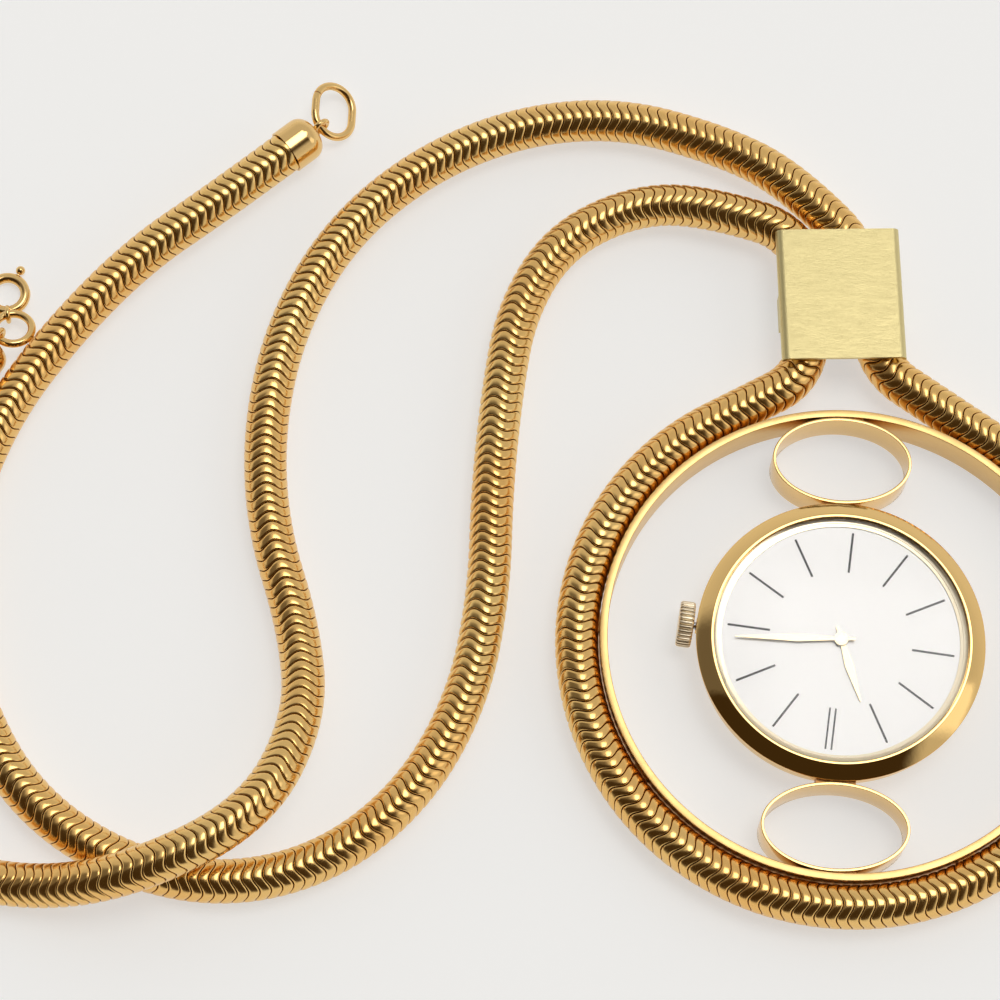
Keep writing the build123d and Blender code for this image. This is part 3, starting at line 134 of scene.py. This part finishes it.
dial_metal = bpy.data.materials.new("dial silver")
dial_metal.use_nodes = True
tree = dial_metal.node_tree
silver = tree.nodes["Principled BSDF"]
silver.inputs["Base Color"].default_value = (0.90, 0.89, 0.875, 1)
silver.inputs["Metallic"].default_value = 0.41
silver.inputs["Roughness"].default_value = 0.34
coords = tree.nodes.new("ShaderNodeTexCoord")
angle_share = tree.nodes.new("ShaderNodeTexGradient")
angle_share.gradient_type = "RADIAL"
many = tree.nodes.new("ShaderNodeMath")
many.operation = "MULTIPLY"
many.inputs[1].default_value = 420
noise = tree.nodes.new("ShaderNodeTexNoise")
noise.noise_dimensions = "1D"
noise.inputs["Scale"].default_value = 1
noise.inputs["Detail"].default_value = 2
bumps = tree.nodes.new("ShaderNodeBump")
bumps.inputs["Strength"].default_value = 0.06
bumps.inputs["Distance"].default_value = 0.00005
tree.links.new(coords.outputs["Object"], angle_share.inputs["Vector"])
tree.links.new(angle_share.outputs["Fac"], many.inputs[0])
tree.links.new(many.outputs[0], noise.inputs["W"])
tree.links.new(noise.outputs["Fac"], bumps.inputs["Height"])
tree.links.new(bumps.outputs[0], silver.inputs["Normal"])


# Mesh helpers, in millimetres
def mesh_piece(name, verts, faces, mat, body="watch", smooth=True, sharp=None):
    """A mesh piece from points in millimetres, riding on a body."""
    me = bpy.data.meshes.new(name)
    me.from_pydata([tuple(float(c) * MM for c in v) for v in verts], [], faces)
    me.validate()
    bm = bmesh.new()
    bm.from_mesh(me)
    bmesh.ops.recalc_face_normals(bm, faces=bm.faces)
    bm.to_mesh(me)
    bm.free()
    if smooth:
        me.shade_smooth()
        if sharp:
            me.set_sharp_from_angle(angle=radians(sharp))
    ob = bpy.data.objects.new(name, me)
    scene.collection.objects.link(ob)
    me.materials.append(mat)
    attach(ob, body)
    return ob


def grid(rows):
    """Points and faces of a skin over rows of one length, each row and the run of rows closed."""
    n = len(rows[0])
    verts = [p for row in rows for p in row]
    faces = []
    count = len(rows)
    for i in range(count):
        a = i * n
        c = ((i + 1) % count) * n
        for k in range(n):
            k2 = (k + 1) % n
            faces.append((a + k, a + k2, c + k2, c + k))
    return verts, faces


def lathe(name, profile, mat, body="watch", n=240, sharp=25, matrix=None, ripple=None):
    """A closed profile of (radius, height) turned about Z."""
    rows = []
    for i in range(n):
        a = 2 * pi * i / n
        row = []
        for r, z in profile:
            full = r if ripple is None else r * ripple(a, r)
            row.append(Vector((full * cos(a), full * sin(a), z)))
        rows.append(row)
    verts, faces = grid(rows)
    if matrix is not None:
        verts = [matrix @ v for v in verts]
    return mesh_piece(name, verts, faces, mat, body, sharp=sharp)


def rounded(points, radius, steps=3):
    """A closed outline with every corner rounded by up to its radius."""
    out = []
    n = len(points)
    for i in range(n):
        p = Vector(points[i])
        before = Vector(points[i - 1]) - p
        after = Vector(points[(i + 1) % n]) - p
        r = min(radius, before.length * 0.45, after.length * 0.45)
        before.normalize()
        after.normalize()
        for k in range(steps + 1):
            t = k / steps
            a = p + before * r
            c = p + after * r
            out.append(tuple(a * (1 - t) ** 2 + p * 2 * t * (1 - t) + c * t ** 2))
    return out


def turn(deg):
    """The level direction at an angle from +X."""
    return Vector((cos(radians(deg)), sin(radians(deg)), 0))


# Routes of the chain, repeated from the model in millimetres and degrees
CHAIN_R = 2.68
HELD_Z = 3.2
FIT_GAP = 0.05
HOOP_R = 30.1
HOOP = Vector((0.65, 0.15, 0))
ROUTE_R = HOOP_R + CHAIN_R + FIT_GAP
LEFT_LEAVE = 121
RIGHT_LEAVE = 57
LEFT_BEND_R = 8.0
RIGHT_BEND_R = 9.0
LEFT_HEADING = 90
RIGHT_HEADING = 100
LEFT_IN_SLIDE_X = -4.7
RIGHT_IN_SLIDE_X = 3.8
LEFT_STRAIGHT = 7.98
RIGHT_STRAIGHT = 8.33
LEFT_EXIT_R = 8.7
RIGHT_EXIT_R = 14.5
LEFT_EXIT_TURN = 75
RIGHT_EXIT_TURN = 35
FIRST_RUN = 8.5
CROSS_GAP = 0.5
CAP_WALL = 0.25
LIE = CHAIN_R
CROSS = LIE + 2 * CHAIN_R + CROSS_GAP
CLIMB = 4.6
CAP = CHAIN_R + CAP_WALL + FIT_GAP / 2


def walk(start, heading, moves, step=0.5):
    """Points along moves: ("run", length) goes straight on, ("bend", radius, degrees) turns level."""
    points = [Vector(start)]
    for kind, size, *turned in moves:
        if kind == "run":
            n = max(2, ceil(size / step))
            last = points[-1].copy()
            for k in range(1, n + 1):
                points.append(last + turn(heading) * (size * k / n))
        else:
            sweep = turned[0]
            n = max(4, ceil(abs(radians(sweep)) * size / step))
            side = 1 if sweep > 0 else -1
            centre = points[-1] + turn(heading + 90 * side) * size
            for k in range(1, n + 1):
                points.append(centre + turn(heading + sweep * k / n - 90 * side) * size)
            heading += sweep
    return points


def leave_point(leave):
    """The place where the chain leaves the hoop."""
    return HOOP + turn(leave) * ROUTE_R + Vector((0, 0, HELD_Z))


def leaning(start_x, heading, bend_r, turned, target_x):
    """The length of a straight run whose following bend finishes on a line across X."""
    bend = bend_r * (sin(radians(heading + turned)) - sin(radians(heading)))
    bend = bend if turned > 0 else -bend
    return (target_x - bend - start_x) / cos(radians(heading))


def through_slide(start, heading, bend_r, rise_heading, in_slide_x, straight, exit_r, exit_turn):
    """The held chain from the hoop up to where it comes out of the slide."""
    turned = rise_heading - heading
    lean = leaning(start.x, heading, bend_r, turned, in_slide_x)
    return walk(start, heading, [("run", lean), ("bend", bend_r, turned), ("run", straight),
                                 ("bend", exit_r, exit_turn)])


left_off = leave_point(LEFT_LEAVE)
right_off = leave_point(RIGHT_LEAVE)
left_part = through_slide(left_off, LEFT_LEAVE - 90, LEFT_BEND_R, LEFT_HEADING, LEFT_IN_SLIDE_X,
                          LEFT_STRAIGHT, LEFT_EXIT_R, LEFT_EXIT_TURN)
right_part = through_slide(right_off, RIGHT_LEAVE + 90, RIGHT_BEND_R, RIGHT_HEADING, RIGHT_IN_SLIDE_X,
                           RIGHT_STRAIGHT, RIGHT_EXIT_R, RIGHT_EXIT_TURN)
round_hoop = walk(left_off, LEFT_LEAVE + 90, [("bend", ROUTE_R, 360 + RIGHT_LEAVE - LEFT_LEAVE)])
loop_points = list(reversed(left_part)) + round_hoop[1:-1] + right_part

left_start = left_part[-1]
right_start = right_part[-1]
left_second = left_start + turn(LEFT_HEADING + LEFT_EXIT_TURN) * FIRST_RUN
right_second = right_start + turn(RIGHT_HEADING + RIGHT_EXIT_TURN) * FIRST_RUN
left_controls = [left_start, left_second] + [Vector(p) for p in [
    (-28.3, 57.4, LIE), (-36.9, 51.8, LIE), (-41.65, 42.16, LIE), (-42.92, 31.16, LIE),
    (-43.51, 18.0, LIE), (-43.2, 4.8, LIE), (-44.96, -8.86, LIE), (-50.76, -21.28, LIE),
    (-60.51, -30.38, LIE), (-73.0, -34.2, LIE), (-86.0, -32.0, LIE), (-97.55, -24.85, LIE),
    (-105.1, -13.6, LIE), (-108.9, -0.6, LIE), (-108.8, 12.9, LIE), (-105.0, 25.4, LIE),
    (-98.3, 36.6, LIE), (-89.9, 47.2, LIE), (-80.6, 54.9, CAP), (-71.15, 63.6, CAP)]]
right_controls = [right_start, right_second] + [Vector(p) for p in [
    (-17.04, 67.17, LIE), (-29.78, 70.16, LIE), (-43.0, 68.0, LIE), (-55.12, 61.46, LIE),
    (-64.69, 51.51, LIE), (-70.57, 38.7, LIE), (-72.47, 24.95, LIE), (-71.05, 11.6, LIE), (-66.2, -1.41, LIE),
    (-64.45, -13.12, CLIMB), (-69.37, -26.55, CROSS), (-83.8, -34.9, CROSS), (-96.5, -35.77, LIE),
    (-108.5, -33.5, LIE), (-118.5, -26.0, LIE), (-125.0, -15.0, LIE), (-127.2, -2.5, LIE),
    (-123.5, 9.8, LIE), (-115.9, 19.2, CAP), (-108.79, 31.28, CAP)]]


def route(name, controls):
    """Dense points of a smooth curve through the run of its control points."""
    curve = bpy.data.curves.new(name, "CURVE")
    curve.dimensions = "3D"
    spline = curve.splines.new("NURBS")
    spline.points.add(len(controls) - 1)
    for point, place in zip(spline.points, controls):
        point.co = (*(place * MM), 1)
    spline.order_u = 3
    spline.use_endpoint_u = True
    spline.resolution_u = 16
    holder = bpy.data.objects.new(name, curve)
    scene.collection.objects.link(holder)
    bpy.context.view_layer.update()
    dense = bpy.data.meshes.new_from_object(holder)
    points = [v.co / MM for v in dense.vertices]
    bpy.data.objects.remove(holder)
    bpy.data.curves.remove(curve)
    bpy.data.meshes.remove(dense)
    return points


left_route = route("left route", left_controls)
right_route = route("right route", right_controls)

# The links: shares of the pitch and the radius at each, and a wave that turns slowly along the chain
PITCH = 1.27
WAVE = 0.36
WAVES_AROUND = 4
LINK_SHARES = [0.0, 0.055, 0.13, 0.3, 0.55, 0.8, 0.92, 0.965, 1.0]
LINK_RADII = [2.16, 2.56, 2.65, 2.68, 2.68, 2.665, 2.625, 2.54, 2.16]
AROUND = 40
END_RUN = 3
FIRST_PHASE = 2.0
TWIST = 0.012


def links(name, points, phase):
    """The chain's wavy links along a route, as one mesh."""
    p = np.array([tuple(v) for v in points])
    keep = [0]
    for i in range(1, len(p)):
        if np.linalg.norm(p[i] - p[keep[-1]]) > 1e-4:
            keep.append(i)
    p = p[keep]
    p = np.vstack([p[0] + (p[0] - p[1]) / np.linalg.norm(p[0] - p[1]) * END_RUN, p,
                   p[-1] + (p[-1] - p[-2]) / np.linalg.norm(p[-1] - p[-2]) * END_RUN])
    s = np.concatenate([[0], np.cumsum(np.linalg.norm(np.diff(p, axis=0), axis=1))]) - END_RUN
    length = s[-2]
    tan_mid = np.diff(p, axis=0) / np.diff(s)[:, None]
    s_mid = (s[1:] + s[:-1]) / 2
    count = round(length / PITCH)
    pitch = length / count
    th = np.arange(AROUND) * 2 * pi / AROUND
    k = np.arange(count)
    base = (k[:, None] + np.array(LINK_SHARES)[None, :]) * pitch
    wave = WAVE * np.cos(WAVES_AROUND * th[None, None, :] + phase(base)[:, :, None])
    sv = base[:, :, None] + wave
    flat = sv.ravel()
    c = np.stack([np.interp(flat, s, p[:, i]) for i in range(3)], 1)
    t = np.stack([np.interp(flat, s_mid, tan_mid[:, i]) for i in range(3)], 1)
    t /= np.linalg.norm(t, axis=1)[:, None]
    side = np.cross(np.array([0, 0, 1.0]), t)
    side /= np.linalg.norm(side, axis=1)[:, None]
    up = np.cross(t, side)
    thf = np.broadcast_to(th[None, None, :], sv.shape).ravel()
    rf = np.broadcast_to(np.array(LINK_RADII)[None, :, None], sv.shape).ravel()
    v = c + rf[:, None] * (np.cos(thf)[:, None] * up + np.sin(thf)[:, None] * side)
    rings = len(LINK_SHARES)
    idx = np.arange(count * rings * AROUND).reshape(count, rings, AROUND)
    a = idx[:, :-1, :]
    b = np.roll(a, -1, axis=2)
    d = idx[:, 1:, :]
    e = np.roll(d, -1, axis=2)
    faces = np.stack([a, b, e, d], axis=-1).reshape(-1, 4)
    me = bpy.data.meshes.new(name)
    me.from_pydata((v * MM).tolist(), [], faces.tolist())
    me.shade_smooth()
    ob = bpy.data.objects.new(name, me)
    scene.collection.objects.link(ob)
    me.materials.append(gold_chain)
    me.materials.append(painted_shade_groove)
    # The first and last band of each link take the dark groove material, painted shade between the links
    shade = np.zeros((count, rings - 1, AROUND), dtype=np.int32)
    shade[:, [0, -1], :] = 1
    me.polygons.foreach_set("material_index", shade.ravel())
    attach(ob, "watch")
    return ob, length


def phase_from(start):
    """The wave's phase at each length along a stretch."""
    return lambda s: start + TWIST * s


left_links, left_length = links("left_strand_links", list(reversed(left_route)), phase_from(FIRST_PHASE))
loop_start = FIRST_PHASE + TWIST * left_length
loop_links, loop_length = links("held_chain_links", loop_points, phase_from(loop_start))
right_links, right_length = links("right_strand_links", right_route,
                                  phase_from(loop_start + TWIST * loop_length))
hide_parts("chain_strand_left")
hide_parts("chain_loop")
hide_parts("chain_strand_right")

# Watch head: bezel, rehaut ring and crystal as (radius, height) outlines
BEZEL_ROUND = 0.07
REHAUT_ROUND = 0.025
bezel_outline = rounded([(17.7, 5.0), (17.7, 5.45), (15.95, 6.5), (15.6, 6.5), (15.6, 5.47),
                         (16.33, 5.47), (16.33, 5.0)], BEZEL_ROUND)
bezel = lathe("bezel_piece", bezel_outline, gold_case, sharp=20, n=320)
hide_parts("bezel")
rehaut_outline = rounded([(15.53, 5.46), (15.53, 5.94), (15.42, 5.94), (15.42, 5.46), (14.98, 5.46),
                          (14.98, 5.36), (14.55, 5.36), (14.55, 5.21), (15.0, 5.21), (15.0, 5.3),
                          (15.3, 5.36)], REHAUT_ROUND)
rehaut = lathe("rehaut_piece", rehaut_outline, rehaut_metal, n=320)
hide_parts("rehaut_ring")

AXIS_R = 0.001
CRYSTAL_FLAT_Z = 5.96
DOME_R = 15.1
DOME_FULL_R = 15.55
DOME_EDGE_Z = 6.45
DOME_RISE = 0.6
DOME_STEPS = 22
RIM_R = 0.42
RIM_Z = 6.1
RIM_RISE = 0.384
RIM_STEPS = 8
dome = []
for i in range(DOME_STEPS + 1):
    r = DOME_R * i / DOME_STEPS
    dome.append((max(r, AXIS_R), DOME_EDGE_Z + DOME_RISE * (1 - (r / DOME_FULL_R) ** 2)))
rim = []
for k in range(1, RIM_STEPS + 1):
    a = radians(90 / RIM_STEPS * k)
    rim.append((DOME_R + RIM_R * sin(a), RIM_Z + RIM_RISE * cos(a)))
outline = dome + rim + [(DOME_R + RIM_R, CRYSTAL_FLAT_Z), (AXIS_R, CRYSTAL_FLAT_Z)]
crystal = lathe("crystal_piece", outline, glass, n=160)
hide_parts("crystal")

# Dial with its printed lines
DIAL_R = 14.9
DIAL_BORE_R = 0.75
DIAL_TOP_Z = 5.2
DIAL_BACK_Z = 5.01
DIAL_AROUND = 180
DIAL_RINGS = 12
# Direction of the dial's three, in degrees from +X
HEAD = 174.74


def circle(radius, z, n):
    """Points of a level circle round the watch's axis."""
    return [Vector((radius * cos(2 * pi * i / n), radius * sin(2 * pi * i / n), z)) for i in range(n)]


disc_rows = [circle(r, DIAL_TOP_Z, DIAL_AROUND) for r in np.linspace(DIAL_BORE_R, DIAL_R, DIAL_RINGS)]
disc_rows += [circle(r, DIAL_BACK_Z, DIAL_AROUND) for r in (DIAL_R, DIAL_BORE_R)]
verts, faces = grid(disc_rows)
dial = mesh_piece("dial_piece", verts, faces, dial_metal, sharp=30)
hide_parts("dial")
LINE_IN_R = 8.7
LINE_OUT_R = 13.9
LINE_LOW_Z = 5.203
LINE_TOP_Z = 5.215
LINE_WIDE = 0.27
PAIR_LINE_WIDE = 0.22
PAIR_SHIFT = 0.36
verts, faces = [], []


def dial_line(deg, wide, shift=0.0):
    """One thin printed line on the dial."""
    u = turn(deg)
    w = Vector((-u.y, u.x, 0))
    base = len(verts)
    for z in (LINE_LOW_Z, LINE_TOP_Z):
        for r, side in ((LINE_IN_R, -1), (LINE_OUT_R, -1), (LINE_OUT_R, 1), (LINE_IN_R, 1)):
            verts.append(u * r + w * (shift + side * wide / 2) + Vector((0, 0, z)))
    faces.extend([(base, base + 1, base + 2, base + 3), (base + 4, base + 5, base + 6, base + 7),
                  (base, base + 1, base + 5, base + 4), (base + 1, base + 2, base + 6, base + 5),
                  (base + 2, base + 3, base + 7, base + 6), (base + 3, base, base + 4, base + 7)])


for hour in range(12):
    angle = HEAD + 90 - 30 * hour
    if hour == 0:
        dial_line(angle, PAIR_LINE_WIDE, -PAIR_SHIFT)
        dial_line(angle, PAIR_LINE_WIDE, PAIR_SHIFT)
    else:
        dial_line(angle, LINE_WIDE)
marks = mesh_piece("dial_lines", verts, faces, black_print, smooth=False)

# Hoop and oval rings as flat bands on edge
BAND_TOP_Z = 5.2
EDGE_ROUND = 0.02
HOOP_BAND = 0.97
HOOP_WALL = 1.0
HOOP_ROUND = 0.14
OVAL_BAND = 0.41
OVAL_ROUND = 0.1
OVAL_Z = 0.1
OVAL_CLEAR = 0.08
OVAL_X = -0.2
OVAL_NEAR = 17.8


def band(name, half_wide, half_high, centre, thick, z0, rnd, mat, n):
    """A band on edge, bent round an ellipse."""
    rows = []
    profile = rounded([(0, z0), (0, BAND_TOP_Z), (thick, BAND_TOP_Z), (thick, z0)], rnd)
    for i in range(n):
        a = 2 * pi * i / n
        p = Vector((half_wide * cos(a), half_high * sin(a), 0))
        out = Vector((cos(a) / half_wide, sin(a) / half_high, 0)).normalized()
        rows.append([Vector((centre[0], centre[1], 0)) + p - out * d + Vector((0, 0, z)) for d, z in profile])
    band_verts, band_faces = grid(rows)
    return mesh_piece(name, band_verts, band_faces, mat, sharp=28)


hoop_half = HOOP_R - EDGE_ROUND
hoop = band("hoop_piece", hoop_half, hoop_half, HOOP, HOOP_BAND, 0.0, HOOP_ROUND, gold_hoop, 400)
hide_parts("hoop")
for side, node, half_wide in ((1, "upper_oval_ring", 8.65), (-1, "lower_oval_ring", 9.0)):
    far = HOOP_R - HOOP_WALL + side * HOOP.y - OVAL_CLEAR
    middle = (OVAL_X, side * (OVAL_NEAR + far) / 2)
    half_high = (far - OVAL_NEAR) / 2
    oval = band(node + "_piece", half_wide, half_high, middle, OVAL_BAND, OVAL_Z, OVAL_ROUND, gold_ring, 220)
    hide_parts(node)

# Crown with its flutes
FLUTES = 30
FLUTE_DEPTH_SHARE = 0.07
FLUTED_FROM_R = 2.6
CROWN_FROM = 18.0
STEM_Z = 2.95
stem = turn(HEAD)
crown_matrix = Matrix.Translation(stem * CROWN_FROM + Vector((0, 0, STEM_Z))) @ Vector(
    (0, 0, 1)).rotation_difference(stem).to_matrix().to_4x4()


def flute(a, r):
    """The crown's radius at an angle, as a share of its full radius."""
    if r < FLUTED_FROM_R:
        return 1.0
    return 1.0 - FLUTE_DEPTH_SHARE * (0.5 + 0.5 * cos(FLUTES * a)) ** 3


crown_outline = [(0.3, 0.0), (2.3, 0.0), (2.66, 0.05), (2.8, 0.2), (2.84, 0.4), (2.84, 1.5),
                 (2.8, 1.7), (2.66, 1.85), (2.3, 1.9), (1.2, 1.9), (0.01, 1.9), (0.01, 0.0)]
crown = lathe("crown_piece", crown_outline, crown_metal, "crown_body", n=360, sharp=40, matrix=crown_matrix,
              ripple=flute)
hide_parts("crown")

# The model's other pieces keep their solids, with a finish and smooth shading
finish = {
    "case_back": gold_case, "case_body": gold_case, "crown_tube": gold_case, "main_plate": nickel,
    "casing_ring": brass, "train_bridge": nickel, "balance_cock": nickel, "bridge_screws": steel,
    "mainspring_barrel": brass, "ratchet_wheel": steel, "barrel_arbor": steel, "crown_wheel": steel,
    "crown_wheel_core": steel, "click": steel, "click_pin": steel, "centre_wheel": brass,
    "third_wheel": brass, "fourth_wheel": brass, "escape_wheel": steel, "pallet_fork": steel,
    "pallet_bridge": nickel, "balance_wheel": brass, "hairspring": steel, "cannon_pinion": steel,
    "minute_wheel": brass, "hour_wheel": brass, "hour_hand": hand_metal, "minute_hand": hand_metal,
    "winding_stem": steel, "clutch": steel, "winding_pinion": steel, "ring_solder": gold_solder,
    "chain_solder": gold_solder, "slide_cover": gold_satin, "slide_keeper": gold_satin,
    "end_cap_left": gold_ring, "end_cap_right": gold_ring, "jump_ring_oval": gold_ring,
    "jump_ring_round": gold_ring, "clasp_body": gold_ring, "clasp_gate": gold_ring, "clasp_spring": steel}
for node, mat in finish.items():
    ob = nodes[node]
    ob.data.materials.clear()
    ob.data.materials.append(mat)
    ob.data.shade_smooth()
    ob.data.set_sharp_from_angle(angle=radians(28))

# Floor. Its glow is seen by the camera, in reflections and through glass, and by no other ray.
FLOOR_SIZE = 3.0
FLOOR_GLOW = 0.54
bpy.ops.mesh.primitive_plane_add(size=FLOOR_SIZE, location=(0, 0, 0))
floor = bpy.context.object
floor.name = "floor"
floor_finish = plain("floor", (0.55, 0.55, 0.54), 0.9)
floor_shader = floor_finish.node_tree.nodes["Principled BSDF"]
floor_shader.inputs["Emission Color"].default_value = (1.0, 1.0, 0.99, 1)
rays = floor_finish.node_tree.nodes.new("ShaderNodeLightPath")
shown = rays.outputs["Is Camera Ray"]
for other in ("Is Glossy Ray", "Is Transmission Ray"):
    either = floor_finish.node_tree.nodes.new("ShaderNodeMath")
    either.operation = "MAXIMUM"
    floor_finish.node_tree.links.new(shown, either.inputs[0])
    floor_finish.node_tree.links.new(rays.outputs[other], either.inputs[1])
    shown = either.outputs[0]
lift = floor_finish.node_tree.nodes.new("ShaderNodeMath")
lift.operation = "MULTIPLY"
lift.inputs[1].default_value = FLOOR_GLOW
floor_finish.node_tree.links.new(shown, lift.inputs[0])
floor_finish.node_tree.links.new(lift.outputs[0], floor_shader.inputs["Emission Strength"])
floor.data.materials.append(floor_finish)

# World: a plain pale studio with a bright soft window overhead, a small lamp to the right and darker sides.
# Each step rises or falls between two values of the view direction's x, y or z.
world = bpy.data.worlds.new("studio")
scene.world = world
world.use_nodes = True
sky = world.node_tree
sky.nodes.clear()
out = sky.nodes.new("ShaderNodeOutputWorld")
coord = sky.nodes.new("ShaderNodeTexCoord")
sep = sky.nodes.new("ShaderNodeSeparateXYZ")
sky.links.new(coord.outputs["Generated"], sep.inputs[0])


def math(op, a, b):
    """One calculation on two numbers or sockets."""
    made = sky.nodes.new("ShaderNodeMath")
    made.operation = op
    for i, v in enumerate((a, b)):
        if isinstance(v, (int, float)):
            made.inputs[i].default_value = v
        else:
            sky.links.new(v, made.inputs[i])
    return made.outputs[0]


def step(v, lo, hi, a=0.0, b=1.0):
    """A soft change from a to b while a socket's value goes from lo to hi."""
    made = sky.nodes.new("ShaderNodeMapRange")
    made.interpolation_type = "SMOOTHSTEP"
    sky.links.new(v, made.inputs["Value"])
    made.inputs["From Min"].default_value = lo
    made.inputs["From Max"].default_value = hi
    made.inputs["To Min"].default_value = a
    made.inputs["To Max"].default_value = b
    return made.outputs[0]


def product(first, *rest):
    """All the sockets multiplied together."""
    for factor in rest:
        first = math("MULTIPLY", first, factor)
    return first


def channel(level, dark, share, less):
    """One colour channel: a share of the level, and a little less towards the dark sides."""
    return math("SUBTRACT", math("MULTIPLY", level, share), math("MULTIPLY", dark, less))


dx, dy, dz = sep.outputs
window = product(step(dx, -0.05, 0.04), step(dx, 0.36, 0.45, 1.0, 0.0), step(dy, -0.09, 0.0),
                 step(dy, 0.33, 0.42, 1.0, 0.0), step(dz, 0.3, 0.4))
lamp = product(step(dx, 0.64, 0.74), step(dy, -0.4, -0.25), step(dy, 0.0, 0.1, 1.0, 0.0), step(dz, 0.3, 0.4))
high = step(dz, 0.1, 0.5)
near_side = product(step(dz, 0.06, 0.2), step(dy, 0.05, -0.2), step(dx, 0.72, 0.55))
left_side = product(step(dz, 0.3, 0.42), step(dx, -0.15, -0.45), step(dy, 0.52, 0.3))
dark = math("MAXIMUM", near_side, math("MULTIPLY", left_side, 0.8))
open_side = math("SUBTRACT", 0.8, math("MULTIPLY", high, 0.16))
base = math("MULTIPLY", open_side, math("SUBTRACT", 1.0, math("MULTIPLY", dark, 0.92)))
bright = math("ADD", math("MULTIPLY", window, 2.9), math("MULTIPLY", lamp, 0.6))
level = math("ADD", base, bright)
color = sky.nodes.new("ShaderNodeCombineColor")
sky.links.new(level, color.inputs[0])
sky.links.new(channel(level, dark, 0.985, 0.018), color.inputs[1])
sky.links.new(channel(level, dark, 0.965, 0.036), color.inputs[2])
lit = sky.nodes.new("ShaderNodeBackground")
lit.inputs["Strength"].default_value = 1.0
sky.links.new(color.outputs[0], lit.inputs["Color"])
seen = sky.nodes.new("ShaderNodeBackground")
seen.inputs["Color"].default_value = (1, 1, 1, 1)
path = sky.nodes.new("ShaderNodeLightPath")
mix = sky.nodes.new("ShaderNodeMixShader")
sky.links.new(path.outputs["Is Camera Ray"], mix.inputs[0])
sky.links.new(lit.outputs[0], mix.inputs[1])
sky.links.new(seen.outputs[0], mix.inputs[2])
sky.links.new(mix.outputs[0], out.inputs[0])

# Camera, from the fit to the photograph
ELEVATION = 70.4545
ROLL = 3.0621
LENS = 123.99
CAMERA_AT = (-0.04245, -0.12662, 0.40645)
elev = radians(ELEVATION)
roll = radians(ROLL)
ahead = Vector((0, cos(elev), -sin(elev)))
level_right = Vector((1, 0, 0))
level_up = Vector((0, sin(elev), cos(elev)))
cam_x = level_right * cos(roll) + level_up * sin(roll)
cam_y = level_up * cos(roll) - level_right * sin(roll)
cam_data = bpy.data.cameras.new("camera")
cam_data.lens = LENS
cam_data.sensor_width = 36.0
cam_data.clip_start = 0.01
cam = bpy.data.objects.new("camera", cam_data)
scene.collection.objects.link(cam)
cam.matrix_world = Matrix(((cam_x.x, cam_y.x, -ahead.x, CAMERA_AT[0]),
                           (cam_x.y, cam_y.y, -ahead.y, CAMERA_AT[1]),
                           (cam_x.z, cam_y.z, -ahead.z, CAMERA_AT[2]), (0, 0, 0, 1)))
scene.camera = cam
scene.view_settings.view_transform = "Standard"

bpy.context.view_layer.update()
